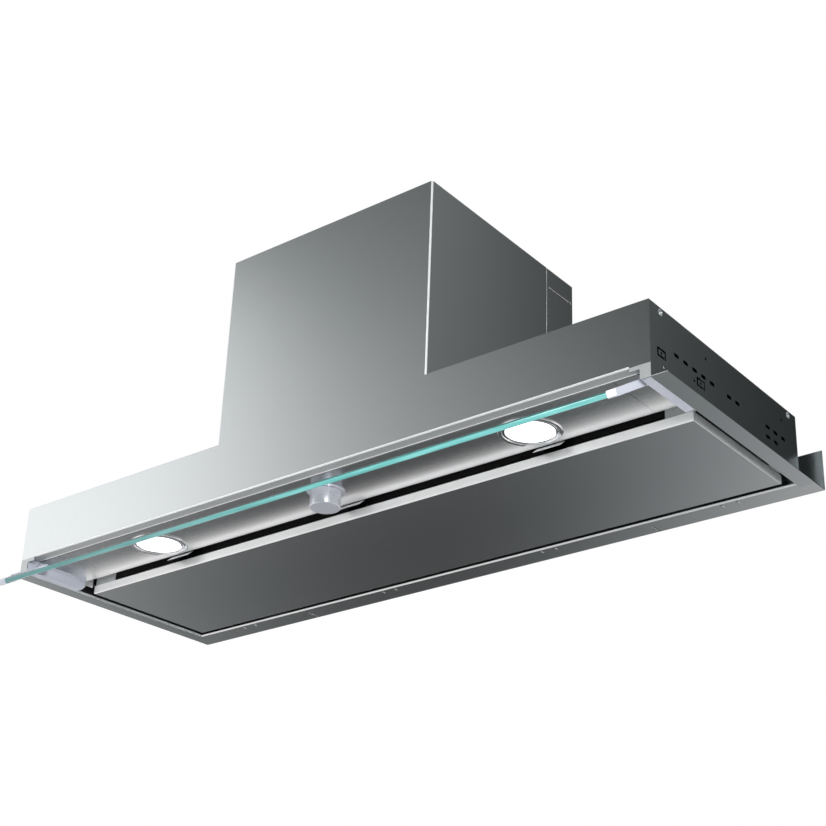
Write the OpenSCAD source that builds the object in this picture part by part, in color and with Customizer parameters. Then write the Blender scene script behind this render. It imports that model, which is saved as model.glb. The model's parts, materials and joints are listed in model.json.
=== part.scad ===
// Pull-out cabinet hood: a flat body with perimeter suction, a glass visor that slides
// out and tilts down, and an off-centre tower that holds the blower.
// X runs across the hood, Y from the front face to the wall and Z up.
// Zero is the middle of the front edge of the cabinet flange's underside.

/* [Body] */
// Width over the outer faces of the side panels
body_w = 863.2; // [820:0.1:1100]
// Depth from the front face to the rear face
body_d = 295.8; // [292:0.1:320]
// Height of the flat body
body_h = 80.2; // [76:0.1:110]
// Thickness of the steel sheet
sheet = 0.8; // [0.7:0.1:1]
// Width of the out-turned flange that seats under the cabinet sides
flange_w = 17.4; // [14:0.1:22]
// Width of the folds that the sheets are riveted by
fold_w = 12; // [10:0.5:14]
// Height of the front panel's bottom edge over the flange
front_lift = 14.8; // [14:0.1:16]
// Depth of the front panel's bottom lip
lip_d = 15.4; // [13:0.1:18]

/* [Side Panel Openings] */
// Pitch of the fixing slots
slot_pitch = 16.8; // [14:0.1:18]
// Length of a fixing slot
slot_l = 9; // [7:0.5:11]
// Height of a fixing slot
slot_h = 4; // [3:0.5:5]
// Depth of the first fixing slot behind the front face
slot_y = 47.4; // [44:0.1:52]
// Height of the row of fixing slots
slot_z = 41.6; // [40:0.1:46]
// Distance of the last slot of the rear group from the rear face
rear_slot_inset = 32.7; // [28:0.1:36]
// Pitch of the rear group of slots
rear_slot_pitch = 17.2; // [14:0.1:18]
// Width of a punched tab
tab_w = 15.4; // [12:0.1:16]
// Height of a punched tab
tab_h = 9.6; // [7:0.1:10]
// Radius of the dimples under the top edge
dimple_r = 4; // [3:0.1:4.3]
// Depth of the dimples under the top edge
dimple_depth = 2.3; // [1:0.1:3]

/* [Rear Spacer] */
// Depth of the spacer behind the body
spacer_d = 22.8; // [18:0.1:40]
// Height of the spacer's upstand
spacer_h = 45.3; // [30:0.1:60]
// Distance of the slits from the middle
spacer_slit_x = 250; // [220:1:300]

/* [Tower] */
// Width of the tower
tower_w = 289.8; // [284:0.1:320]
// Depth of the tower
tower_d = 265; // [262:0.1:275]
// Height of the tower over the body
tower_h = 231.5; // [228:0.1:260]
// Offset of the tower from the middle of the body
tower_shift = 27.5; // [0:0.5:60]
// Depth of the seam between the two tower shells
seam_y = 211.8; // [200:0.1:220]
// Outer radius of the outlet collar
collar_r = 74.5; // [72:0.1:75]
// Height of the outlet collar over the tower
collar_h = 34; // [30:0.5:44]

/* [Light Strip] */
// Distance of the strip's seams from the outer faces of the side panels
strip_seam_inset = 49.1; // [45:0.1:55]
// Depth of the strip's rear face behind the front face
strip_rear_y = 93; // [91:0.1:95]
// Radius of the bend along the strip's rear edge
strip_bend_r = 3; // [2:0.1:5]
// Distance of the lamps from the middle
lamp_x = 260.5; // [220:0.5:300]
// Depth of the lamps behind the front face
lamp_y = 56.2; // [54:0.1:58]
// Outer radius of a lamp bezel
lamp_r = 32.5; // [30:0.1:34]
// Radius of a lamp lens
lens_r = 24.5; // [20:0.1:25]

/* [Speed Knob] */
// Depth of the knob's axis behind the front face
knob_y = 50.1; // [49:0.1:54]
// Radius of the knob
knob_r = 16.5; // [14:0.1:18]
// Height of the knob
knob_h = 18.5; // [14:0.1:20]
// Radius of the knob's base collar
knob_collar_r = 20.5; // [18:0.1:21]

/* [Visor] */
// Tilt of the pulled-out visor below level
visor_tilt = 32.5; // [20:0.5:36]
// Depth of the visor's pivot behind the front face
pivot_y = 15; // [13:0.1:17]
// Height of the visor's pivot over the flange
pivot_z = 5.4; // [5:0.1:6]
// Length of the visor from its pivot to its front edge
visor_reach = 60.6; // [50:0.1:66]
// Depth of the glass along the visor
glass_d = 48; // [40:0.5:50]
// Thickness of the glass
glass_t = 5; // [4:0.1:5.2]
// Width of an end bracket
bracket_w = 10; // [8:0.1:12]
// Thickness of an end bracket
bracket_t = 7.3; // [7:0.1:7.6]
// Length of a slide carrier
carrier_l = 84.9; // [78:0.1:88]
// Width of a slide carrier
carrier_w = 10.2; // [9.6:0.1:10.4]
// Height of a slide carrier
carrier_h = 11.2; // [10.5:0.1:11.4]
// Radius of the visor's pivot pins
visor_pin_r = 2.5; // [2:0.1:2.8]

/* [Suction Panel] */
// Gap between the light strip and the suction panel
front_gap = 6.1; // [5.6:0.1:8]
// Gap between the suction panel and a side panel
side_gap = 12.1; // [11.8:0.1:16]
// Gap between the suction panel and the rear rail
rear_gap = 8.5; // [8:0.1:12]
// Height of the panel's folded edge
panel_t = 9.9; // [9:0.1:10]
// Width of the rear rail
rail_w = 7.6; // [6:0.1:9]
// Distance of the outer catches from the middle
catch_x = 260; // [220:1:300]
// Width of a catch
catch_w = 34; // [28:1:40]
// Distance of the hinges from the middle
hinge_x = 300; // [240:1:330]
// Radius of the hinge pins
hinge_pin_r = 1.5; // [1.2:0.1:1.7]

/* [Grease Filters] */
// Clearance at each end of a grease filter
filter_end_gap = 2.5; // [2:0.1:8]
// Thickness of a grease filter
filter_t = 9; // [8:0.5:10]
// Width of a filter latch
latch_w = 46; // [36:1:60]
// Travel of a filter latch
latch_travel = 4; // [3:0.5:4]

/* [Blower] */
// Depth of the fan's axis behind the front face
fan_y = 118; // [116:0.5:120]
// Distance of the fan's axis below the tower's top
fan_drop = 119.7; // [119:0.1:122]
// Outer radius of the impeller
fan_r = 78; // [74:0.5:79]
// Inner radius of the blades
blade_r0 = 64; // [62:0.5:66]
// Number of blades in the impeller
blade_count = 36; // [24:1:42]
// Width of the impeller
fan_w = 124; // [110:1:130]
// Width of the scroll housing
scroll_w = 150; // [146:1:150]
// Outer radius of the scroll at its tongue
scroll_r0 = 85; // [84:0.5:86]
// Outer radius of the scroll at its outlet
scroll_r1 = 126; // [122:0.5:128]
// Wall thickness of the scroll
scroll_wall = 2; // [1.5:0.1:2.5]
// Radius of the motor
motor_r = 42; // [36:0.5:46]

/* [Hidden] */
$fn = 64;

// Overrun of every cut past the face that it opens
over = 1;
// Clearance between pieces that are assembled side by side
fit = 0.3;
// Radial clearance of a pin or shaft that turns in its bore
run_fit = 0.05;
// Radial clearance of a pin or screw that is fixed in its hole
seat_fit = 0.03;

// Places shared by the casing
web_x1 = body_w / 2;
web_x0 = web_x1 - sheet;
flange_x1 = web_x1 + flange_w;
lip_inset = 22.6;
lip_x1 = web_x1 - lip_inset;
lip_hem_h = 6;
front_bend_r = 1.8;
lip_tail_inset = 12;
lip_tail_x1 = web_x1 - lip_tail_inset;
tower_x0 = tower_shift - tower_w / 2;
tower_x1 = tower_shift + tower_w / 2;
tower_top = body_h + tower_h;
opening_inset = 18;
spacer_y1 = body_d + spacer_d;

// Slots, tabs and small holes of the side panels
slot_shares = [0, 1, 2, 3, 4, 6, 7];
rear_slot_shares = [[0, 1, 2], [1, 2]];
rear_slot_drop = 11.2;
rear_slot_y = body_d - rear_slot_inset;
tab_front_y = 20.2;
tab_spacing = 72;
tab_z = 32;
tab_cut = 2.2;
tab_bridge = 3;
tab_dimple_r = 1.6;
small_hole_r = 1.6;
small_hole_shares = [[0.081, 0.246], [0.27, 0.373], [0.352, 0.793], [0.886, 0.786]];
dimple_front_y = 20.2;
dimple_rear_inset = 17.6;
dimple_drop = 5.2;
dimple_floor_r = 1.6;

// Rivets and screws
rivet_r = 1.6;
rivet_head_r = 3.2;
rivet_head_h = 1;
screw_r = 1.9;
screw_head_r = 3.9;
screw_head_h = 2.2;
recess_w = 0.9;
recess_l = 4;
recess_depth = 1.1;
shank_tail = 4;
side_rivet_shares = [0.2, 0.5, 0.8];
end_rivet_inset = 101.6;
end_rivet_x = web_x1 - end_rivet_inset;
side_rivet_x = web_x0 - fold_w / 2;
front_rivet_y = sheet + fold_w / 2;
rear_rivet_y = body_d - sheet - fold_w / 2;
spacer_screw_shares = [-0.74, -0.255, 0.255, 0.74];
spacer_leg_h = 14;
spacer_screw_z = 8;
slit_w = 1.6;
slit_start = 3.4;
hook_outer_inset = 81.6;
hook_outer_x = web_x1 - hook_outer_inset;
hook_inner_x = 117;
hook_half_pitch = 9.4;
hook_w = 2.6;
hook_t = 0.5;
hook_reach = 2.6;

// Tower seam, slit and feet
seam_gap = 0.5;
seam_tongue = 10;
tower_slit_drop = 24.6;
tower_slit_z = tower_top - tower_slit_drop;
tower_slit_start = 4.6;
tower_slit_end = 8.8;
tower_slit_h = 1.2;
tower_bend_r = 2;
tower_hole_inset = 5.4;
foot_inset = sheet + fold_w / 2;
foot_side_shares = [0.26, 0.6];
foot_end_inset = 40;
crown_screw_inset = 34;
crown_screw_drop = 6;

// Scroll outline, drawn in the plane across the fan's axis
fan_x = tower_shift;
fan_z = tower_top - fan_drop;
tongue_angle = 62;
scroll_steps = 44;
throat_y = fan_y + scroll_r0 * cos(tongue_angle);
scroll_y1 = fan_y + scroll_r1;
gasket_t = 2;
box_top = tower_top - sheet - gasket_t;
box_h = 24;
box_z0 = box_top - box_h;
box_d = 151;
box_y0 = scroll_y1 - box_d;
collar_y = (box_y0 + scroll_y1) / 2;
flange_lip = 8;
flange_lip_t = 2;
inlet_r = 61;
inlet_lip_h = 8;
scroll_x0 = fan_x - scroll_w / 2;
scroll_x1 = fan_x + scroll_w / 2;
blower_screw_x = scroll_w / 2 + flange_lip / 2;

// Impeller, motor and bracket
blade_t = 1.2;
blade_lean = 13;
blade_points = 5;
ring_t = 2;
ring_w = 3;
disc_t = 2;
hub_r = 12;
hub_w = 24;
shaft_r = 4;
motor_gap = 1;
motor_x0 = fan_x + hub_w / 2 + motor_gap;
motor_x1 = scroll_x1;
motor_vents = 12;
motor_vent_r0 = 24;
motor_vent_r1 = 34;
motor_vent_w = 5;
motor_vent_depth = 3;
spider_t = 3;
spider_hub_r = 26;
spider_arm_w = 14;
spider_r = 84;
spider_screw_r = 76;

// Outlet collar and its non-return valve
collar_wall = 1.5;
collar_flange_r = 86;
collar_flange_t = 1.5;
collar_screw_r = 80.5;
collar_chamfer = 0.8;
valve_rise = 12;
valve_z = tower_top + valve_rise;
valve_rod_r = 1.5;
valve_seat_w = 3.5;
valve_seat_t = 1.2;
flap_t = 1.2;
flap_gap = 1.5;
flap_r = collar_r - collar_wall - flap_gap;
flap_start = 3.4;
knuckle_r = 2.7;
knuckle_l = 14;
knuckle_shares = [[-0.73, 0.17], [-0.36, 0.53]];

// Light strip
strip_seam_x = web_x1 - strip_seam_inset;
strip_gap = 0.4;
strip_y0 = lip_d + strip_gap;
strip_top_z = front_lift + sheet;
strip_seam = 0.5;
strip_front_h = 6;
deck_rise = 17.2;
deck_z1 = front_lift + deck_rise;
deck_z0 = deck_z1 - sheet;
strip_end_x1 = web_x0 - carrier_w - 3 * fit;
cheek_drop = 7.6;
cheek_reach = 3;
cheek_w = 8.5;

// Lamps
bezel_drop = 1.4;
bezel_lip = 0.8;
bezel_step = 0.5;
bezel_gap = 0.7;
bezel_rim_w = 1.8;
bezel_groove_w = 0.8;
bezel_neck_r = 28;
bezel_neck_h = 9;
lens_drop = 0.6;
lens_t = 2.4;
module_r = 27;
module_h = 16;
fin_count = 8;
fin_w = 1.6;
fin_depth = 7;

// Knob, shaft and switch
knob_collar_h = 1.5;
knob_gap = 0.4;
knob_edge = 0.8;
knob_shaft_r = 3;
knob_bore_h = 12;
switch_w = 26;
switch_h = 15;
bush_r = 5;
knob_top_z = front_lift - knob_collar_h - knob_gap;
knob_z0 = knob_top_z - knob_h;
switch_z1 = strip_top_z + switch_h;

// Boxes over the light strip
control_x = -170;
control_y = 56;
control_l = 116;
control_w = 58;
control_h = 34;
control_wall = 1.5;
lid_t = 2;
driver_x = 130;
driver_y = 56;
driver_l = 96;
driver_w = 42;
driver_h = 24;
driver_ear = 8;
driver_ear_t = 2;
driver_hole_r = 1.8;
capacitor_r = 17;
capacitor_l = 58;
capacitor_stud_r = 4;
capacitor_stud_l = 6;
gland_x = -210;
gland_inset = 55.8;
gland_y = body_d - gland_inset;
gland_bore_r = 4;
gland_neck_r = 8;
gland_head_r = 11.5;
gland_head_h = 9;
gland_tail_h = 6;

// Suction panel
panel_x1 = web_x0 - side_gap;
panel_y0 = strip_rear_y + front_gap;
rail_y0 = body_d - rail_w;
panel_y1 = rail_y0 - rear_gap;
panel_z0 = 0.2;
panel_z1 = panel_z0 + panel_t;
panel_skin = 1;
panel_hem = 11;
panel_bend_r = 1.2;
stiffener_w = 40;
stiffener_foot = 10;
stiffener_t = 0.8;
stiffener_h = 6.5;

// Panel hinges
hinge_back = 2.9;
hinge_rise = 4.7;
hinge_y = panel_y1 + hinge_back;
hinge_z = panel_z0 + hinge_rise;
leaf_t = 0.8;
leaf_w = 28;
leaf_knuckle_r = 2.5;
leaf_neck_h = 1.6;
ear_t = 2;
ear_r = 2.5;
ear_gap = 0.4;
ear_top_z = 26;
ear_reach = 5;
hinge_pin_tail = 1.2;
rail_upstand = 12;
rail_bend_r = 2;
rail_lip_h = 7;
foot_h = 16;

// Catches and strikers
leaf_spring_t = 0.6;
catch_seat = 0.5;
catch_top_z = deck_z0 - catch_seat;
catch_bend_z = 14.6;
catch_tip_y = 84.5;
catch_tip_z = 7.4;
striker_w = 26;
striker_t = 0.8;
striker_h = 7.9;
striker_foot = 9;
striker_reach = 5.5;

// Filter deck, filters and latches
deck_wall_y0 = 104;
deck_open_inset = 26.8;
deck_open_x = web_x0 - deck_open_inset;
deck_bar_w = 10;
filter_bay = deck_open_x - deck_bar_w / 2;
filter_x = deck_bar_w / 2 + filter_bay / 2;
filter_w = filter_bay - 2 * filter_end_gap;
deck_wall_inset = 17.8;
deck_wall_y1 = body_d - deck_wall_inset;
deck_skirt_z = 15;
deck_ledge = 6;
deck_side_fold = 7;
slot_notch_reach = 8;
slot_notch_margin = 1;
filter_space = 3;
filter_z0 = deck_skirt_z + sheet + filter_space;
filter_y0 = deck_wall_y0 + sheet + 2 * fit;
filter_y1 = deck_wall_y1 - sheet - 2 * fit;
filter_rim = 14;
filter_lip = 3;
filter_bars = 7;
filter_bar_w = 4;
filter_bar_t = 1.5;
filter_foot_w = 60;
filter_foot_x = 110;
latch_t = 1.8;
latch_z0 = filter_z0 - fit - latch_t;
latch_l = 24;
latch_clear = 0.6;
latch_bolt = latch_travel - latch_clear;
latch_bolt_w = 20;
latch_grip_w = 26;
latch_grip_l = 5;
latch_grip_h = 3;
guide_w = 3;
guide_lip = 2.5;
guide_lip_t = 1.2;
end_plate_w = 33.7;
end_plate_x0 = strip_end_x1 - end_plate_w;
end_plate_back = 2.7;
end_plate_lift = 0.7;
end_plate_y0 = panel_y0 + end_plate_back;
end_plate_z0 = panel_z1 + end_plate_lift;
end_plate_top = deck_z0;
rear_plate_inset = 20.8;
rear_plate_l = 23;
rear_plate_y1 = body_d - rear_plate_inset;
rear_plate_y0 = rear_plate_y1 - rear_plate_l;

// Visor
bracket_inset = 24.3;
bracket_x0 = web_x1 - bracket_inset;
bracket_x1 = bracket_x0 + bracket_w;
bracket_tail = 6.4;
bracket_edge = 1.2;
glass_lip = 1;
glass_z0 = -bracket_t / 2 + glass_lip;
glass_tongue = 4;
glass_setback = 3;
glass_edge = 0.5;
glass_fit = 0.1;
pin_bore_l = 7;
pin_washer_r = 4.2;
pin_setback = 2;
carrier_x1 = web_x0 - fit;
carrier_x0 = carrier_x1 - carrier_w;
carrier_y0 = sheet + fit;
carrier_z0 = 0.3;
carrier_z1 = carrier_z0 + carrier_h;
carrier_nose = 3;
carrier_heel = 5;
rail_rib_w = 3;
rail_head_w = 7;
rail_head_h = 4.2;
rail_lip_t = 2.5;
rail_slide_fit = 0.2;
rail_z0 = carrier_z1 + fit;
rail_h = 12.4;
rail_y1 = 92;
rail_start_y = 4;
rib_start = 18;
rib_x = (carrier_x0 + carrier_x1) / 2;
bracket_notch_z = 10.6;

// Axis-aligned block between two corners
module block(x, y, z) {
    translate([x[0], y[0], z[0]])
        cube([x[1] - x[0], y[1] - y[0], z[1] - z[0]]);
}

// Both halves of a piece that is symmetric about the middle
module pair() {
    children();
    mirror([1, 0, 0]) children();
}

// Outline drawn with depth and height, run across the hood from x0 to x1
module across(x0, x1) {
    translate([x0, 0, 0]) rotate([90, 0, 90]) linear_extrude(x1 - x0) children();
}

// Outline drawn with width and height, run in depth from y0 to y1
module along(y0, y1) {
    translate([0, y1, 0]) rotate([90, 0, 0]) linear_extrude(y1 - y0) children();
}

// Outline drawn with width and depth, raised from z0 to z1
module upright(z0, z1) {
    translate([0, 0, z0]) linear_extrude(z1 - z0) children();
}

// Rectangle between two corners of an outline
module flat(u0, u1, v0, v1) {
    translate([u0, v0]) square([u1 - u0, v1 - v0]);
}

// Quarter bend of a sheet in an outline: sharp corner at [u, v], sheet on the side of the signs
module bend(u, v, side_u, side_v, r) {
    intersection() {
        translate([u + side_u * r, v + side_v * r]) difference() {
            circle(r);
            circle(r - sheet);
        }
        translate([u + (side_u - 1) * r / 2, v + (side_v - 1) * r / 2]) square(r);
    }
}

// Rectangle whose two lower corners are round
module round_foot(u0, u1, v0, v1, r) {
    flat(u0, u1, v0 + r, v1);
    flat(u0 + r, u1 - r, v0, v1);
    for (u = [u0 + r, u1 - r]) translate([u, v0 + r]) circle(r);
}

// Round bar along X, Y or Z from its low end
module bar_x(x0, x1, y, z, r) {
    translate([x0, y, z]) rotate([0, 90, 0]) cylinder(h = x1 - x0, r = r);
}
module bar_y(x, y0, y1, z, r) {
    translate([x, y0, z]) rotate([-90, 0, 0]) cylinder(h = y1 - y0, r = r);
}
module bar_z(x, y, z0, z1, r) {
    translate([x, y, z0]) cylinder(h = z1 - z0, r = r);
}

// Ring about Z
module ring(z0, z1, r0, r1) {
    difference() {
        translate([0, 0, z0]) cylinder(h = z1 - z0, r = r1);
        translate([0, 0, z0 - over]) cylinder(h = z1 - z0 + 2 * over, r = r0);
    }
}

// Pan head screw with a cross recess, head up, seat at zero
module screw(grip) {
    difference() {
        union() {
            cylinder(h = screw_head_h, r = screw_head_r);
            translate([0, 0, -grip - shank_tail])
                cylinder(h = grip + shank_tail + sheet, r = screw_r);
        }
        for (turn = [0, 90])
            rotate(turn) translate([-recess_l / 2, -recess_w / 2, screw_head_h - recess_depth])
                cube([recess_l, recess_w, recess_depth + over]);
    }
}

// Blind rivet, head up, seat at zero
module rivet(grip) {
    cylinder(h = rivet_head_h, r = rivet_head_r);
    translate([0, 0, -grip - rivet_r]) cylinder(h = grip + rivet_r + sheet / 2, r = rivet_r);
}

// Places of the casing's rivets on the top plate
module at_top_rivets() {
    for (side = [-1, 1], share = side_rivet_shares)
        translate([side * side_rivet_x, share * body_d, body_h]) children();
    for (side = [-1, 1], y = [front_rivet_y, rear_rivet_y])
        translate([side * end_rivet_x, y, body_h]) children();
}
module at_spacer_screws() {
    for (share = spacer_screw_shares)
        translate([share * web_x1, body_d + sheet, spacer_screw_z]) rotate([-90, 0, 0]) children();
}
module at_tower_feet() {
    for (side = [-1, 1], share = foot_side_shares)
        translate([tower_shift + side * (tower_w / 2 - foot_inset), share * tower_d,
                   body_h + sheet]) children();
    for (side = [-1, 1])
        translate([tower_shift + side * (tower_w / 2 - foot_end_inset), tower_d - foot_inset,
                   body_h + sheet]) children();
}
module at_crown_screws() {
    for (side = [-1, 1])
        translate([tower_shift + side * (tower_w / 2 - crown_screw_inset), tower_d,
                   tower_top - crown_screw_drop])
            rotate([-90, 0, 0]) children();
}
module at_collar_screws() {
    for (turn = [45 : 90 : 315])
        translate([fan_x, collar_y, tower_top + collar_flange_t]) rotate(turn)
            translate([collar_screw_r, 0, 0]) children();
}
module at_blower_screws() {
    for (side = [-1, 1], y = [box_y0 - flange_lip / 2, scroll_y1 + flange_lip / 2])
        translate([fan_x + side * blower_screw_x, y, tower_top]) children();
}
module at_spider_screws() {
    for (turn = [90 : 120 : 330])
        translate([scroll_x1 + spider_t, fan_y, fan_z]) rotate([turn, 0, 0])
            translate([0, spider_screw_r, 0]) rotate([0, 90, 0]) children();
}
module rivet_hole() {
    translate([0, 0, -shank_tail * 2]) cylinder(h = shank_tail * 3, r = rivet_r + seat_fit);
}
module screw_hole() {
    translate([0, 0, -shank_tail * 3]) cylinder(h = shank_tail * 4, r = screw_r + seat_fit);
}

// Round-ended slot through a side panel
module web_slot(y, z) {
    reach = (slot_l - slot_h) / 2;
    for (end = [-1, 1]) bar_x(web_x0 - over, web_x1 + over, y + end * reach, z, slot_h / 2);
    block([web_x0 - over, web_x1 + over], [y - reach, y + reach], [z - slot_h / 2, z + slot_h / 2]);
}

// Punched tab: a cut round it that leaves a bridge, and a dimple in its middle
module web_tab(y) {
    x = [web_x0 - over, web_x1 + over];
    y0 = y - tab_w / 2;
    y1 = y + tab_w / 2;
    z0 = tab_z - tab_h / 2;
    z1 = tab_z + tab_h / 2;
    block(x, [y0, y1], [z1 - tab_cut, z1]);
    block(x, [y0, y0 + tab_cut], [z0, z1]);
    block(x, [y1 - tab_cut, y1], [z0, z1]);
    block(x, [y0, y1 - tab_bridge], [z0, z0 + tab_cut]);
    bar_x(x[0], x[1], y, tab_z, tab_dimple_r);
}

// Round dimples pressed inwards under the top edge: the metal behind them and their hollow
module at_dimples() {
    for (y = [dimple_front_y, body_d - dimple_rear_inset])
        translate([web_x1, y, body_h - dimple_drop]) rotate([0, -90, 0]) children();
}
module dimple_backs() {
    at_dimples() translate([0, 0, sheet])
        cylinder(h = dimple_depth, r1 = dimple_r, r2 = dimple_floor_r);
}
module dimple_hollows() {
    flare = over * (dimple_r - dimple_floor_r) / dimple_depth;
    at_dimples() translate([0, 0, -over])
        cylinder(h = dimple_depth + over, r1 = dimple_r + flare, r2 = dimple_floor_r);
}

module side_panel() {
    difference() {
        union() {
            block([web_x0, web_x1], [sheet, body_d - sheet], [0, body_h]);
            block([web_x0, flange_x1], [sheet, body_d - sheet], [0, sheet]);
            block([web_x1, flange_x1], [0, body_d], [0, sheet]);
            block([web_x0 - fold_w, web_x1], [sheet, body_d - sheet],
                  [body_h - 2 * sheet, body_h - sheet]);
            block([lip_x1, web_x1], [0, sheet], [0, front_lift]);
            dimple_backs();
        }
        block([lip_x1 - over, carrier_x0 - fit], [-over, sheet + over], [-over, bracket_notch_z]);
        for (share = slot_shares) web_slot(slot_y + share * slot_pitch, slot_z);
        for (row = [0, 1], share = rear_slot_shares[row])
            web_slot(rear_slot_y - share * rear_slot_pitch, slot_z - row * rear_slot_drop);
        for (y = [tab_front_y, tab_front_y + tab_spacing]) web_tab(y);
        for (share = small_hole_shares)
            bar_x(web_x0 - over, web_x1 + over, share[0] * body_d, share[1] * body_h, small_hole_r);
        dimple_hollows();
        at_top_rivets() rivet_hole();
    }
}
module side_panel_right() { color("#34383a") side_panel(); }
module side_panel_left() { color("#34383a") mirror([1, 0, 0]) side_panel(); }

module front_panel() {
    fold_x = web_x0 - fold_w - fit;
    color("#b9bcbd") difference() {
        union() {
            block([-web_x1, web_x1], [0, sheet], [front_lift + front_bend_r, body_h]);
            pair() block([lip_x1, web_x1], [0, sheet], [front_lift, body_h]);
            across(-lip_x1, lip_x1) {
                bend(0, front_lift, 1, 1, front_bend_r);
                flat(front_bend_r, lip_d - front_bend_r, front_lift, front_lift + sheet);
                bend(lip_d, front_lift, -1, 1, front_bend_r);
                flat(lip_d - sheet, lip_d, front_lift + front_bend_r, front_lift + lip_hem_h);
            }
            pair() block([lip_x1, lip_tail_x1], [0, lip_d - front_bend_r],
                         [front_lift, front_lift + sheet]);
            block([-fold_x, fold_x], [0, sheet + fold_w], [body_h - 2 * sheet, body_h - sheet]);
        }
        pair() block([strip_seam_x, strip_seam_x + strip_seam], [lip_d - 2 * sheet, lip_d + over],
                     [front_lift - over, front_lift + lip_hem_h + over]);
        at_top_rivets() rivet_hole();
    }
}

module top_plate() {
    color("#8d9192") difference() {
        block([-web_x0, web_x0], [sheet, body_d - sheet], [body_h - sheet, body_h]);
        block([tower_x0 + opening_inset, tower_x1 - opening_inset],
              [opening_inset, tower_d - opening_inset], [body_h - sheet - over, body_h + over]);
        bar_z(gland_x, gland_y, body_h - sheet - over, body_h + over, gland_neck_r + seat_fit);
        at_top_rivets() rivet_hole();
        at_tower_feet() screw_hole();
    }
}

module rear_panel() {
    fold_x = web_x0 - fold_w - fit;
    color("#7d8182") difference() {
        union() {
            block([-web_x1, web_x1], [body_d - sheet, body_d], [sheet, body_h]);
            block([-fold_x, fold_x], [body_d - sheet - fold_w, body_d],
                  [body_h - 2 * sheet, body_h - sheet]);
        }
        at_top_rivets() rivet_hole();
        at_spacer_screws() screw_hole();
    }
}

module rear_rail() {
    color("#d9dbdc") difference() {
        union() {
            block([-web_x0, web_x0], [rail_y0 + rail_bend_r, body_d], [0, sheet]);
            across(-web_x0, web_x0) bend(rail_y0, 0, 1, 1, rail_bend_r);
            block([-web_x0, web_x0], [rail_y0, rail_y0 + sheet], [rail_bend_r, rail_lip_h]);
            block([-web_x0, web_x0], [body_d - 2 * sheet, body_d - sheet], [0, rail_upstand]);
        }
        at_spacer_screws() screw_hole();
    }
}

module rear_spacer() {
    color("#6f7374") difference() {
        union() {
            block([-flange_x1, flange_x1], [body_d, spacer_y1], [0, sheet]);
            block([-web_x1, web_x1], [body_d, body_d + sheet], [0, spacer_leg_h]);
            block([-flange_x1, flange_x1], [spacer_y1 - sheet, spacer_y1], [0, spacer_h]);
            for (x = [-hook_outer_x, -hook_inner_x, hook_inner_x, hook_outer_x], side = [-1, 1])
                block([x + side * hook_half_pitch - hook_w / 2, x + side * hook_half_pitch + hook_w / 2],
                      [body_d - hook_reach, body_d + hook_reach], [-hook_t, 0]);
        }
        pair() block([spacer_slit_x, spacer_slit_x + slit_w],
                     [body_d + slit_start, spacer_y1 - sheet], [-over, sheet + over]);
        at_spacer_screws() screw_hole();
    }
}

module casing_fasteners() {
    color("silver") {
        at_top_rivets() rivet(2 * sheet);
        at_spacer_screws() screw(3 * sheet);
    }
}

// One side wall of a tower shell, with the fold that stands on the top plate
module tower_wall(y0, y1) {
    block([tower_x1 - sheet, tower_x1], [y0, y1], [body_h, tower_top]);
}
module about_tower() {
    translate([tower_shift, 0, 0]) mirror([1, 0, 0]) translate([-tower_shift, 0, 0]) children();
}
module tower_pair() {
    children();
    about_tower() children();
}

module tower_front_shell() {
    color("#9a9fa1") difference() {
        union() {
            block([tower_x0 + tower_bend_r, tower_x1 - tower_bend_r], [0, sheet],
                  [body_h, tower_top]);
            tower_pair() {
                upright(body_h, tower_top) bend(tower_x1, 0, -1, 1, tower_bend_r);
                tower_wall(tower_bend_r, seam_y - seam_gap / 2);
                block([tower_x1 - 2 * sheet, tower_x1 - sheet],
                      [seam_y - seam_tongue, seam_y + seam_tongue], [body_h, tower_top]);
                block([tower_x1 - sheet - fold_w, tower_x1 - sheet],
                      [sheet, seam_y - seam_tongue], [body_h, body_h + sheet]);
            }
        }
        at_tower_feet() screw_hole();
    }
}

module tower_rear_shell() {
    slit = [tower_slit_z - tower_slit_h / 2, tower_slit_z + tower_slit_h / 2];
    color("#55595b") difference() {
        union() {
            block([tower_x0, tower_x1], [tower_d - sheet, tower_d], [body_h, tower_top]);
            tower_pair() tower_wall(seam_y + seam_gap / 2, tower_d);
            block([tower_x0 + sheet, tower_x1 - sheet], [tower_d - sheet - fold_w, tower_d - sheet],
                  [body_h, body_h + sheet]);
        }
        tower_pair() {
            block([tower_x1 - sheet - over, tower_x1 + over],
                  [seam_y + tower_slit_start, tower_d - tower_slit_end], slit);
            bar_x(tower_x1 - sheet - over, tower_x1 + over, tower_d - tower_hole_inset,
                  tower_slit_z, small_hole_r);
        }
        at_tower_feet() screw_hole();
        at_crown_screws() screw_hole();
    }
}

module tower_top_plate() {
    x0 = tower_x0 + sheet;
    x1 = tower_x1 - sheet;
    color("#8d9192") difference() {
        union() {
            block([x0, x1], [sheet, tower_d - sheet], [tower_top - sheet, tower_top]);
            for (y = [sheet, tower_d - 2 * sheet])
                block([x0, x1], [y, y + sheet], [tower_top - fold_w, tower_top]);
            tower_pair() block([x1 - sheet, x1], [sheet, seam_y - seam_tongue - over],
                               [tower_top - fold_w, tower_top]);
        }
        tower_pair() block([x1 - sheet, x1 + over],
                           [seam_y - seam_tongue - over, seam_y + seam_tongue + over],
                           [tower_top - fold_w - over, tower_top + over]);
        tower_pair() block([tower_x1 - tower_bend_r, tower_x1 + over], [-over, tower_bend_r],
                           [tower_top - fold_w - over, tower_top + over]);
        bar_z(fan_x, collar_y, tower_top - 2 * sheet, tower_top + over, collar_r - collar_wall);
        at_collar_screws() screw_hole();
        at_blower_screws() screw_hole();
        at_crown_screws() screw_hole();
    }
}

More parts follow.
